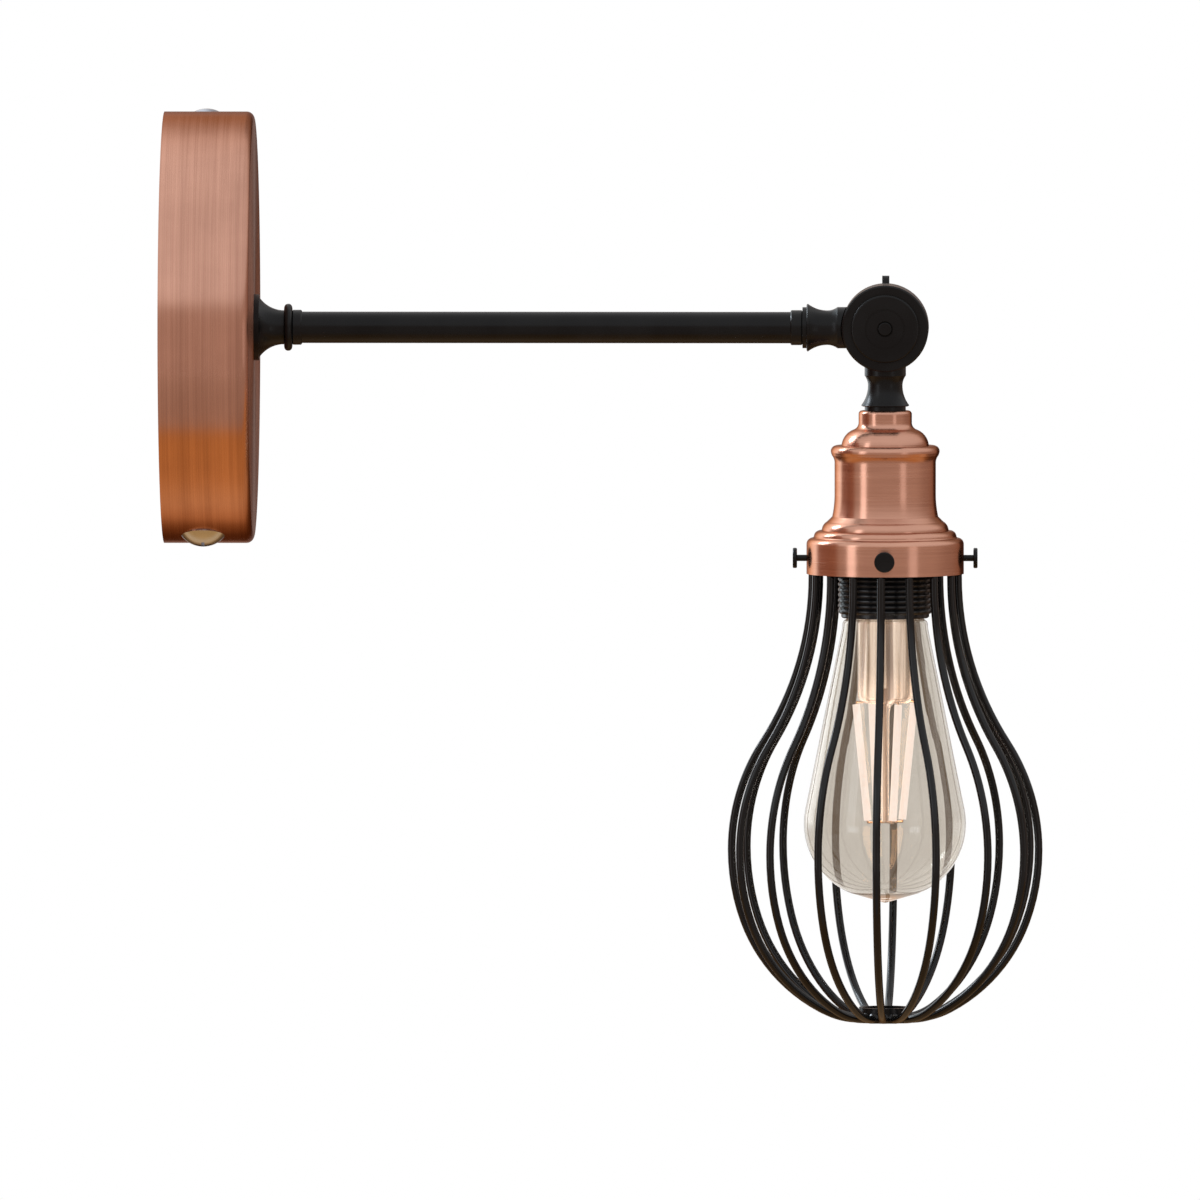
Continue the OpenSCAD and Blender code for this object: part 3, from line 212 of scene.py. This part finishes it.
def brushed(name, axis, light, dark, rough, aniso, contrast, spread):
    """Metal brushed on a lathe: fine lines round the axis, with a soft drift along them."""
    t = Tree(name)
    along, radius, cosine, sine = lathe(t, axis)
    path = t.plus(along, t.times(radius, 1.7))

    def lines_at(pitch, drift, shift):
        return t.noise(t.combine(t.plus(t.times(path, pitch), shift),
                                 t.times(cosine, drift), t.times(sine, drift)), 1, 3, 0.6)

    fine = lines_at(5200, 0.9, 0.0)
    mid = lines_at(1100, 0.5, 31.7)
    broad = lines_at(240, 0.35, 77.1)
    patch = t.noise(t.place(), 55, 3, 0.55)
    lines = t.plus(t.times(fine, 0.45), t.times(mid, 0.55))
    tone = t.plus(t.times(lines, contrast), t.times(broad, 0.85 - contrast))
    tone = t.plus(tone, t.times(patch, 0.15))
    t.set(Base_Color=t.ramp(tone, [(0.5 - spread, dark), (0.5 + spread, light)]), Metallic=1.0,
          Roughness=t.span(lines, 0.3, 0.7, rough - 0.04, rough + 0.05),
          Anisotropic=aniso, Anisotropic_Rotation=0.25, Specular_Tint=(0.56, 0.34, 0.26))
    tangent = t.add("ShaderNodeTangent", direction_type="RADIAL", axis=axis.upper())
    t.link(tangent.outputs[0], t.bsdf.inputs["Tangent"])
    t.bump(lines, 0.08, 0.00004)
    return t.mat


def painted(name, colour, rough, spec, grain=1500, bump=0.06):
    """Satin paint: faint orange peel, with slightly uneven gloss."""
    t = Tree(name)
    p = t.place()
    peel = t.noise(p, grain, 3, 0.55)
    patch = t.noise(p, 60, 3, 0.5)
    worn = tuple(min(1.0, c * 1.5 + 0.002) for c in colour)
    t.set(Base_Color=t.ramp(patch, [(0.35, colour), (0.7, worn)]),
          Roughness=t.span(patch, 0.3, 0.7, rough - 0.04, rough + 0.06),
          Specular_IOR_Level=spec, Specular_Tint=(0.97, 0.97, 1.0))
    t.bump(peel, bump, 0.00005)
    return t.mat


def plain_metal(name, light, dark, rough):
    """Plated or cast metal: cloudy tone, fine scratches one way, dull spots."""
    t = Tree(name)
    x, y, z = t.split(t.place())
    cloud = t.noise(t.place(), 130, 4, 0.6)
    scratch = t.noise(t.combine(t.times(x, 900), t.times(y, 900), t.times(z, 4500)), 1, 3, 0.6)
    tone = t.plus(t.times(cloud, 0.6), t.times(scratch, 0.4))
    t.set(Base_Color=t.ramp(tone, [(0.35, dark), (0.65, light)]), Metallic=1.0,
          Roughness=t.span(tone, 0.3, 0.7, rough - 0.05, rough + 0.08))
    t.bump(scratch, 0.08, 0.00004)
    return t.mat


def moulded(name, light, dark, rough, spec):
    """Moulded plastic, ceramic or sleeving: fine grain and a slow change of tone."""
    t = Tree(name)
    p = t.place()
    grains = t.noise(p, 2500, 2, 0.5)
    slow = t.noise(p, 45, 3, 0.5)
    t.set(Base_Color=t.ramp(slow, [(0.35, dark), (0.65, light)]), Specular_IOR_Level=spec,
          Roughness=t.span(grains, 0.3, 0.7, rough - 0.05, rough + 0.05))
    t.bump(grains, 0.08, 0.00003)
    return t.mat


def glass(name, tint, painted_glow):
    """Smoked glass: faint ripples, streaks of tint, a painted glow of the filaments' light over it, and
    painted warm spots of that glow at the tip."""
    t = Tree(name)
    p = t.place()
    ripple = t.noise(p, 60, 2, 0.4)
    light = tuple(min(1.0, c * 1.03) for c in tint)
    along, radius = lathe(t, "z")[:2]
    # painted glow: warm spots of the filaments' light, in patches near the tip
    tip = t.times(t.soft(radius, 0.011, 0.003), t.soft(along, -0.212, -0.220))
    tip = t.times(tip, t.soft(t.noise(p, 330, 2, 0.5), 0.35, 0.6))
    # the whole glass glows faintly with painted light of the filaments, and more at the tip
    t.set(Base_Color=t.ramp(ripple, [(0.3, tint), (0.7, light)]),
          Transmission_Weight=1.0, IOR=1.32, Roughness=0.0,
          Emission_Color=t.mix(tip, (1.0, 0.71, 0.50), (1.0, 0.45, 0.18)),
          Emission_Strength=t.span(tip, 0, 1, painted_glow, 0.14))
    t.bump(ripple, 0.05, 0.0002)
    return t.mat


def lit(name, glow, mirrored_glow):
    """A glowing filament: peach to the eye, and brighter and warmer in what mirrors it."""
    t = Tree(name)
    mottle = t.noise(t.place(), 700, 3, 0.6)
    rays = t.rays()
    mirrored = t.times(rays["Is Glossy Ray"], t.math("SUBTRACT", 1.0, rays["Is Transmission Ray"]))
    peach = t.ramp(mottle, [(0.3, (1.0, 0.81, 0.72)), (0.7, (1.0, 0.88, 0.82))])
    t.set(Base_Color=(0.05, 0.04, 0.03), Roughness=0.6,
          Emission_Color=t.mix(mirrored, peach, (1.0, 0.56, 0.28)),
          Emission_Strength=t.span(mirrored, 0, 1, glow, mirrored_glow))
    return t.mat


def stem_glass(name):
    """The stem's clear glass, with long streaks of tint that also carry a painted glow of the filaments'
    light, brighter lower down.
    """
    t = Tree(name)
    along, _, cosine, sine = lathe(t, "z")
    streak_and_glow = t.noise(t.combine(t.times(cosine, 3.4), t.times(sine, 3.4), t.times(along, 9.0)), 1, 2, 0.5)
    tint = [(0.38, (0.42, 0.34, 0.27)), (0.48, (0.84, 0.78, 0.72)), (0.58, (0.97, 0.94, 0.92))]
    # painted glow: the streaks shine with the filaments' light, more lower down
    t.set(Base_Color=t.ramp(streak_and_glow, tint), Transmission_Weight=1.0, IOR=1.2, Roughness=0.0,
          Emission_Color=t.ramp(streak_and_glow, [(0.42, (0.08, 0.05, 0.04)), (0.58, (0.62, 0.46, 0.37))]),
          Emission_Strength=t.span(t.soft(along, -0.150, -0.132), 0, 1, 0.75, 0.26))
    t.bump(streak_and_glow, 0.03, 0.0002)
    return t.mat


CUP_LIGHT, CUP_DARK = (0.64, 0.345, 0.255), (0.46, 0.238, 0.175)
COPPER_LIGHT, COPPER_DARK = (0.62, 0.335, 0.245), (0.50, 0.262, 0.190)


def make_materials():
    return {
        "cup": brushed("brushed_copper", "x", CUP_LIGHT, CUP_DARK,
                       rough=0.27, aniso=0.85, contrast=0.45, spread=0.09),
        "copper": brushed("copper", "z", COPPER_LIGHT, COPPER_DARK,
                          rough=0.24, aniso=0.75, contrast=0.5, spread=0.14),
        "paint": painted("black_paint", (0.0020, 0.0021, 0.0023), 0.25, 0.2),
        "wire_paint": painted("wire_paint", (0.0020, 0.0020, 0.0020), 0.09, 0.30, grain=900, bump=0.002),
        "plastic": painted("black_plastic", (0.0030, 0.0034, 0.0040), 0.24, 0.4, grain=2400),
        "bright": plain_metal("bright_steel", (0.56, 0.61, 0.70), (0.44, 0.48, 0.56), 0.12),
        "zinc": plain_metal("zinc_steel", (0.70, 0.72, 0.74), (0.52, 0.54, 0.57), 0.34),
        "brass": plain_metal("brass", (0.83, 0.62, 0.30), (0.66, 0.47, 0.20), 0.27),
        "cap": plain_metal("bulb_cap_metal", (0.78, 0.77, 0.74), (0.62, 0.61, 0.58), 0.24),
        "wire": plain_metal("support_wire", (0.55, 0.40, 0.30), (0.35, 0.24, 0.17), 0.3),
        "white": moulded("white_plastic", (0.80, 0.79, 0.75), (0.74, 0.73, 0.68), 0.45, 0.5),
        "sleeve": moulded("wire_sleeve", (0.14, 0.075, 0.045), (0.10, 0.05, 0.03), 0.5, 0.4),
        "smoked": glass("smoked_glass", (0.645, 0.63, 0.595), painted_glow=0.038),
        "stem": stem_glass("stem_glass"),
        "filament": lit("filament", glow=1.34, mirrored_glow=13.0),
    }


DRESS = {
    "cup": ["wall_cup"],
    "copper": ["holder_cap", "holder_body", "shade_gallery"],
    "paint": ["arm_flange", "flange_ring", "wall_ferrule", "arm_tube", "knuckle_ferrule",
              "knuckle_arm_half", "knuckle_lamp_half", "knuckle_cover", "pivot_bolt", "wing_nut",
              "cage_collar", "cage_wires", "cage_foot_ring", "thumb_screw_front",
              "thumb_screw_rear", "thumb_screw_left", "thumb_screw_right"],
    "plastic": ["shade_ring", "holder_skirt", "holder_insert", "bulb_insulator"],
    "bright": ["side_screws"],
    "zinc": ["wall_strap", "nipple_washer", "wall_nipple", "knuckle_nipple", "friction_washer",
             "holder_nipple", "holder_locknut", "bulb_contact"],
    "brass": ["earth_screw", "terminal_poles", "nipple_nut", "screw_shell", "centre_contact"],
    "cap": ["bulb_cap"],
    "wire": ["filament_wires"],
    "white": ["terminal_block"],
    "sleeve": ["arm_leads", "head_leads"],
    "smoked": ["bulb_glass"],
    "stem": ["bulb_stem"],
    "filament": ["filaments"],
}


def dress(materials):
    for key, names in DRESS.items():
        for name in names:
            for slot in nodes[name].material_slots:
                slot.material = materials[key]


# ---- pieces ----

def build(name, body, material, points, faces, replaced, flat=()):
    """A smooth-shaded mesh piece from points in millimetres; faces in flat stay flat."""
    mesh = bpy.data.meshes.new(name)
    mesh.from_pydata([(x * MM, y * MM, z * MM) for x, y, z in points], [], faces)
    mesh.materials.append(material)
    bm = bmesh.new()
    bm.from_mesh(mesh)
    bmesh.ops.recalc_face_normals(bm, faces=bm.faces)
    bm.faces.ensure_lookup_table()
    for i, face in enumerate(bm.faces):
        face.smooth = i not in flat
    bm.to_mesh(mesh)
    bm.free()
    piece = bpy.data.objects.new(name, mesh)
    bpy.context.scene.collection.objects.link(piece)
    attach(piece, body)
    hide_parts(replaced)


def arc(x, z, r, start, stop, steps, first=0):
    """Points (x, z, angle) round (x, z), without the first ones where asked."""
    out = []
    for i in range(first, steps + 1):
        angle = start + (stop - start) * i / steps
        a = math.radians(angle)
        out.append((x + r * math.cos(a), z + r * math.sin(a), angle))
    return out


def bare(line):
    """The points of arcs without their angles."""
    return [(x, z) for x, z, _ in line]


WIRE_R = 1.55
WIRE_TOP_R, COLLAR_FOOT, WIRE_NECK = 28.75, -94.84, 3.3
CAGE_R, CAGE_WIDE_Z, CAGE_FOOT_Z = 60.6, -206.0, -274.0
CAGE_SIDE_R, CAGE_BELLY_R, BELLY_ANGLE, FOOT_ANGLE = 78.0, 82.0, 20.0, 62.0
FOOT_RING_R = 10.3
WIRES, WIRE_SIDES, CAGE_TURN = 16, 20, 2.7

# the weld at a wire's foot: (distance outside the foot ring, swelling of the wire)
WELD = ((1.1, 1.0), (0.75, 1.1), (0.4, 1.32), (0.15, 1.55), (0.02, 1.62))


def wire_line():
    """One cage wire as (distance from the lamp's axis, height, slope of its cross-section):
    straight down from the collar, a hollow bend, the side, the belly, and two more bends that
    end level at the foot ring."""
    start_z = COLLAR_FOOT - WIRE_NECK
    out, down = CAGE_R - WIRE_TOP_R, start_z - CAGE_WIDE_Z
    swing = 2 * math.degrees(math.atan(out / down))
    hollow = down / math.sin(math.radians(swing)) - CAGE_SIDE_R
    b, f = math.radians(BELLY_ANGLE), math.radians(FOOT_ANGLE)

    # the radii of the last two bends follow from what is left to fall and to come inward
    fall = CAGE_WIDE_Z - (CAGE_FOOT_Z + WIRE_R) - CAGE_BELLY_R * math.sin(b)
    inward = CAGE_R - FOOT_RING_R - CAGE_BELLY_R * (1 - math.cos(b))
    a1, a2 = math.sin(f) - math.sin(b), 1 - math.sin(f)
    b1, b2 = math.cos(b) - math.cos(f), math.cos(f)
    det = a1 * b2 - a2 * b1
    middle, last = (fall * b2 - inward * a2) / det, (inward * a1 - fall * b1) / det

    belly_x = CAGE_R - CAGE_BELLY_R
    middle_x = belly_x + (CAGE_BELLY_R - middle) * math.cos(b)
    middle_z = CAGE_WIDE_Z - (CAGE_BELLY_R - middle) * math.sin(b)
    last_x = middle_x + (middle - last) * math.cos(f)
    last_z = middle_z - (middle - last) * math.sin(f)
    bend = arc(WIRE_TOP_R + hollow, start_z, hollow, 180, 180 + swing, 16)
    line = [(WIRE_TOP_R, COLLAR_FOOT, 0.0)]
    line += [(x, z, angle - 180) for x, z, angle in bend]
    line += arc(CAGE_R - CAGE_SIDE_R, CAGE_WIDE_Z, CAGE_SIDE_R, swing, 0, 14, 1)
    line += arc(belly_x, CAGE_WIDE_Z, CAGE_BELLY_R, 0, -BELLY_ANGLE, 6, 1)
    line += arc(middle_x, middle_z, middle, -BELLY_ANGLE, -FOOT_ANGLE, 12, 1)
    line += arc(last_x, last_z, last, -FOOT_ANGLE, -90, 8, 1)
    return line


def add_cage(material):
    """Sixteen round wires, each with a small weld at the foot ring."""
    line = wire_line()
    foot_z = line[-1][1]
    rings = [(x, z, slope, WIRE_R) for x, z, slope in line]
    rings += [(FOOT_RING_R + reach, foot_z, -90.0, WIRE_R * swell) for reach, swell in WELD]
    points, faces, flat = [], [], set()
    for i in range(WIRES):
        turn = math.radians(-90 - CAGE_TURN + i * 360 / WIRES)
        c, s = math.cos(turn), math.sin(turn)
        base = len(points)
        for x, z, slope, r in rings:
            a = math.radians(slope)
            for k in range(WIRE_SIDES):
                t = 2 * math.pi * k / WIRE_SIDES
                px, py = x + r * math.cos(t) * math.cos(a), r * math.sin(t)
                pz = max(z + r * math.cos(t) * math.sin(a), CAGE_FOOT_Z)
                points.append((PIVOT_X + px * c - py * s, px * s + py * c, pz))
        for j in range(len(rings) - 1):
            for k in range(WIRE_SIDES):
                a0 = base + j * WIRE_SIDES + k
                a1 = base + j * WIRE_SIDES + (k + 1) % WIRE_SIDES
                faces.append((a0, a0 + WIRE_SIDES, a1 + WIRE_SIDES, a1))
        for ring in (0, len(rings) - 1):
            flat.add(len(faces))
            faces.append(tuple(base + ring * WIRE_SIDES + k for k in range(WIRE_SIDES)))
    build("cage_round_wires", "lamp_head", material, points, faces, "cage_wires", flat)


def turned(profile, sides):
    """Points and faces of an open line of (radius, height) turned about the lamp's axis."""
    points, faces = [], []
    for r, z in profile:
        for k in range(sides):
            t = 2 * math.pi * k / sides
            points.append((PIVOT_X + r * math.cos(t), r * math.sin(t), z))
    for j in range(len(profile) - 1):
        for k in range(sides):
            m = (k + 1) % sides
            faces.append((j * sides + k, j * sides + m, (j + 1) * sides + m, (j + 1) * sides + k))
    return points, faces


def two_walled(outer, inner, sides):
    """An outer and an inner line turned about the lamp's axis and joined at their first rings:
    points, faces and the number of points in the outer wall."""
    points, faces = turned(outer, sides)
    more, extra = turned(inner, sides)
    base = len(points)
    points += more
    faces += [tuple(base + i for i in face) for face in extra]
    for k in range(sides):
        m = (k + 1) % sides
        faces.append((k, m, base + m, base + k))
    return points, faces, base


BULB_TIP, SKIRT_FOOT, GLASS_T = -226.84, -114.34, 0.4
THROAT_R, THROAT_Z = 11.6, -110.94
GLASS_TOP_Z = SKIRT_FOOT - 0.3
GLASS_SIDES, STEM_SIDES = 120, 72


def glass_side(w):
    """The glass's outline from the neck to the bottom, set in by w: a straight flank between
    two bends, then a round bottom."""
    wide_r, wide_z, neck_r, round_r = 32.0, BULB_TIP + 31.2, 16.9, 2.4
    hollow_r, side_r, bottom_r, bottom = 12.0, 30.0, 29.5, 68.0
    neck_z = GLASS_TOP_Z - round_r
    down, rest = neck_z - wide_z, hollow_r + side_r - (wide_r - neck_r)
    lean = math.acos((hollow_r + side_r) / math.hypot(down, rest))
    slope = math.degrees(math.atan2(down, rest) - lean)
    line = arc(neck_r - round_r, neck_z, round_r - w, 80, 0, 6)
    line += arc(neck_r + hollow_r, neck_z, hollow_r + w, 180, 180 + slope, 8, 1)
    line += arc(wide_r - side_r, wide_z, side_r - w, slope, 0, 10)
    line += arc(wide_r - bottom_r, wide_z, bottom_r - w, 0, -bottom, 24, 1)
    return bare(line)


def add_glass(material):
    """The bulb's thin glass, with an inner face, open at the throat; drawn to a point at the tip."""
    outer = [(THROAT_R, THROAT_Z), (THROAT_R, GLASS_TOP_Z + 0.6), (THROAT_R + 0.3, GLASS_TOP_Z + 0.1)]
    outer += glass_side(0) + bare(arc(0, BULB_TIP + 2.6, 2.6, -70, -89, 5))
    inner = [(THROAT_R - GLASS_T, THROAT_Z), (THROAT_R - GLASS_T, GLASS_TOP_Z - 0.5)]
    inner += glass_side(GLASS_T) + bare(arc(0, BULB_TIP + 3.7, 1.7, -70, -89, 4))
    points, faces, base = two_walled(outer, inner, GLASS_SIDES)
    tip, hollow = len(points), len(points) + 1
    points += [(PIVOT_X, 0, BULB_TIP), (PIVOT_X, 0, BULB_TIP + 2.0)]
    for end, point in ((base, tip), (tip, hollow)):
        for k in range(GLASS_SIDES):
            m = (k + 1) % GLASS_SIDES
            faces.append((end - GLASS_SIDES + k, end - GLASS_SIDES + m, point))
    build("bulb_thin_glass", "bulb", material, points, faces, "bulb_glass")


def add_stem(material):
    """The bulb's stem: a wide, thin tube with a flat end, and a thin rod down from it."""
    outer = [(9.6, -112.2), (10.9, -116.5), (10.9, -144.0)] + bare(arc(7.9, -145.0, 3.0, 0, -80, 6))
    outer += [(3.2, -148.4), (2.2, -149.4), (1.7, -152.0), (1.6, -170.0), (1.5, -194.0),
              (1.1, -195.0), (0.02, -195.4)]
    inner = [(8.9, -112.2), (10.2, -116.5), (10.2, -144.0)] + bare(arc(7.8, -144.9, 2.3, 0, -80, 6))
    inner += [(3.0, -147.5), (0.02, -147.7)]
    points, faces, base = two_walled(outer, inner, STEM_SIDES)
    for end in (base, len(points)):
        faces.append(tuple(range(end - STEM_SIDES, end)))
    build("bulb_stem_tube", "bulb", material, points, faces, "bulb_stem")


# how wide the CAD's sharp edges are rounded, in millimetres
EDGES = {"knuckle_arm_half": 0.7, "knuckle_lamp_half": 0.7, "knuckle_cover": 0.9,
         "pivot_bolt": 0.5, "arm_flange": 0.3, "wall_ferrule": 0.3, "knuckle_ferrule": 0.3,
         "arm_tube": 0.3}


def soften_edges():
    """Rounds the sharp edges of CAD nodes a little, so that they catch the light."""
    for name, width in EDGES.items():
        edges = nodes[name].modifiers.new("soft_edges", "BEVEL")
        edges.width = width * MM
        edges.segments = 3
        edges.limit_method = "ANGLE"
        edges.angle_limit = math.radians(38)
        edges.harden_normals = True


# ---- stage ----

WHITE, WINDOW = (1, 1, 1), (1.9, 2.1, 2.2)
FLOOR_X, FLOOR_Z, FLOOR_R = 0.17, -0.47, 1.2
CARD_LEFT, CARD_RIGHT, CARD_HALF, CARD_Z = -1.0, 1.4, 1.15, FLOOR_Z + 0.01
HEAD_Z = -0.08

# darker parts of the room: direction (x, y), degrees to where each is full and where it ends, colour
WALLS = ((-0.9925, 0.122, 16, 28, (0.36, 0.18, 0.115)), (0.55, 0.83, 40, 75, (0.46, 0.34, 0.28)),
         (0.16, 0.987, 5, 10, (0.33, 0.26, 0.235)), (0.40, 0.917, 9, 17, (0.08, 0.05, 0.04)))

# the card's tones from front to back: grey, warm brown under the object, dark behind
CARD_TONES = [(0.0, (0.56, 0.45, 0.38)), (0.318, (0.52, 0.41, 0.34)), (0.350, (0.66, 0.34, 0.11)),
              (0.46, (0.70, 0.37, 0.13)), (0.53, (0.80, 0.50, 0.25)), (0.585, (0.70, 0.40, 0.18)),
              (0.625, (0.34, 0.17, 0.06)), (0.72, (0.14, 0.07, 0.03))]

# name, azimuth, height, distance, (width, height of the box), level, colour
LAMPS = (("strip_left", -50, 0.15, 2.2, (0.52, 2.0), 1.6, (0.93, 1.0, 1.05)),
         ("strip_right", 42, -0.25, 2.2, (0.5, 0.9), 0.7, (0.95, 1.0, 1.05)),
         ("side_high", -117, 1.0, 1.9, (0.4, 0.7), 16.0, (0.88, 0.98, 1.08)))


class World(Tree):
    """The same short names in the world's nodes."""

    def __init__(self, world):
        world.use_nodes = True
        self.nt = world.node_tree
        self.nt.nodes.clear()


def toward(t, x, y, near, far):
    """1 within near degrees of the azimuth of (x, y), 0 outside far degrees, soft between."""
    length = math.hypot(x, y)
    dx, dy, _ = t.direction()
    flat = t.length(dx, dy)
    dot = t.plus(t.times(dx, x / length), t.times(dy, y / length))
    cosine = t.math("DIVIDE", dot, t.math("MAXIMUM", flat, 0.001))
    return t.soft(cosine, math.cos(math.radians(far)), math.cos(math.radians(near)))


def add_world():
    """White to the camera, through glass and in gloss from above, with a greyer sky behind and a
    bright corner of it at the back left. Lower down, in gloss and for soft light, a room in
    half-tones with a window at the back left and a darker warm wall beside the object. Only
    clear glass mirrors the bright panes."""
    world = bpy.data.worlds.new("studio")
    bpy.context.scene.world = world
    t = World(world)
    x, y, z = t.direction()
    rays = t.rays()
    glossy, singular = rays["Is Glossy Ray"], rays["Is Singular Ray"]

    left = toward(t, -0.60, 0.80, 30, 42)
    room = t.mix(left, (0.58, 0.465, 0.40), t.mix(glossy, (1.15, 1.24, 1.30), WINDOW))
    for wall_x, wall_y, near, far, colour in WALLS:
        room = t.mix(toward(t, wall_x, wall_y, near, far), room, colour)

    seen = t.plus(rays["Is Camera Ray"], rays["Is Transmission Ray"])
    seen = t.plus(seen, t.times(singular, t.soft(y, -0.1, 0.3)), clamp=True)
    above = t.soft(z, 0.17, 0.32)
    white = t.math("MAXIMUM", t.plus(seen, t.times(glossy, above), clamp=True), above)
    behind = t.times(t.soft(y, 0.5, 0.78), t.soft(x, -0.14, 0.12))
    sky = t.mix(t.times(behind, glossy), WHITE, (0.46, 0.43, 0.42))
    corner = t.times(left, t.soft(x, -0.25, -0.5))
    sky = t.mix(t.times(corner, glossy), sky, WINDOW)
    sky = t.mix(seen, sky, WHITE)

    pane = t.times(toward(t, -0.78, 0.62, 20, 28), t.soft(z, -0.12, 0.0))
    front = t.plus(toward(t, -0.71, -0.70, 6, 9), toward(t, 0.69, -0.72, 6, 9))
    low = t.times(t.soft(z, -0.55, -0.25), t.soft(z, -0.01, -0.05))
    pane = t.times(t.plus(pane, t.times(front, low), clamp=True), singular)

    back = t.add("ShaderNodeBackground")
    t.link(t.mix(pane, t.mix(white, room, sky), (2.6, 2.65, 2.7)), back.inputs["Color"])
    out = t.add("ShaderNodeOutputWorld")
    t.link(back.outputs[0], out.inputs[0])


def flat_piece(name, corners, material):
    mesh = bpy.data.meshes.new(name)
    mesh.from_pydata(corners, [], [tuple(range(len(corners)))])
    mesh.materials.append(material)
    piece = bpy.data.objects.new(name, mesh)
    bpy.context.scene.collection.objects.link(piece)
    return piece


def add_floor():
    """A pale round floor, which takes the object's shadow."""
    t = Tree("floor")
    speck = t.noise(t.place(), 35, 4, 0.6)
    rays = t.rays()
    seen = t.plus(rays["Is Camera Ray"], rays["Is Transmission Ray"])
    seen = t.plus(seen, rays["Is Glossy Ray"], clamp=True)
    t.set(Base_Color=t.ramp(speck, [(0.3, (0.88, 0.88, 0.88)), (0.7, (0.91, 0.91, 0.905))]),
          Roughness=0.9, Specular_IOR_Level=0.0,
          Emission_Color=(1.0, 1.0, 1.0), Emission_Strength=t.times(seen, 0.2))
    angles = [math.radians(5 * i) for i in range(72)]
    ring = [(FLOOR_X + FLOOR_R * math.cos(a), FLOOR_R * math.sin(a), FLOOR_Z) for a in angles]
    flat_piece("floor", ring, t.mat)


def add_under_card():
    """A card just over the floor that only gloss sees; clear glass mirrors it pale."""
    t = Tree("under_card")
    y = t.split(t.place())[1]
    grain = t.noise(t.place(), 6, 3, 0.5)
    at = t.plus(t.span(y, -CARD_HALF, CARD_HALF, 0, 1), t.times(t.math("SUBTRACT", grain, 0.5), 0.02))
    tone = t.mix(t.rays()["Is Singular Ray"], t.ramp(at, CARD_TONES), (0.85, 0.80, 0.74))
    t.set(Base_Color=(0.0, 0.0, 0.0), Roughness=1.0, Specular_IOR_Level=0.0,
          Emission_Color=tone, Emission_Strength=1.0)
    corners = [(CARD_LEFT, -CARD_HALF, CARD_Z), (CARD_RIGHT, -CARD_HALF, CARD_Z),
               (CARD_RIGHT, CARD_HALF, CARD_Z), (CARD_LEFT, CARD_HALF, CARD_Z)]
    card = flat_piece("under_card", corners, t.mat)
    card.visible_camera = card.visible_transmission = False
    card.visible_diffuse = card.visible_shadow = False


def add_lamp(name, azimuth, height, distance, size, level, colour):
    """A soft box that faces the lamp's head; level is its brightness, where white is 1."""
    a = math.radians(azimuth)
    place = Vector((PIVOT_X * MM + distance * math.sin(a), -distance * math.cos(a), height))
    data = bpy.data.lights.new(name, "AREA")
    data.shape, data.size, data.size_y = "RECTANGLE", size[0], size[1]
    data.energy, data.color = level * math.pi * size[0] * size[1], colour
    lamp = bpy.data.objects.new(name, data)
    bpy.context.scene.collection.objects.link(lamp)
    lamp.location = place
    aim = place - Vector((PIVOT_X * MM, 0, HEAD_Z))
    lamp.rotation_euler = aim.to_track_quat("Z", "Y").to_euler()


def add_stage():
    add_world()
    add_floor()
    add_under_card()
    for lamp in LAMPS:
        add_lamp(*lamp)


materials = make_materials()
add_camera()
dress(materials)
add_cage(materials["wire_paint"])
add_glass(materials["smoked"])
add_stem(materials["stem"])
soften_edges()
add_stage()
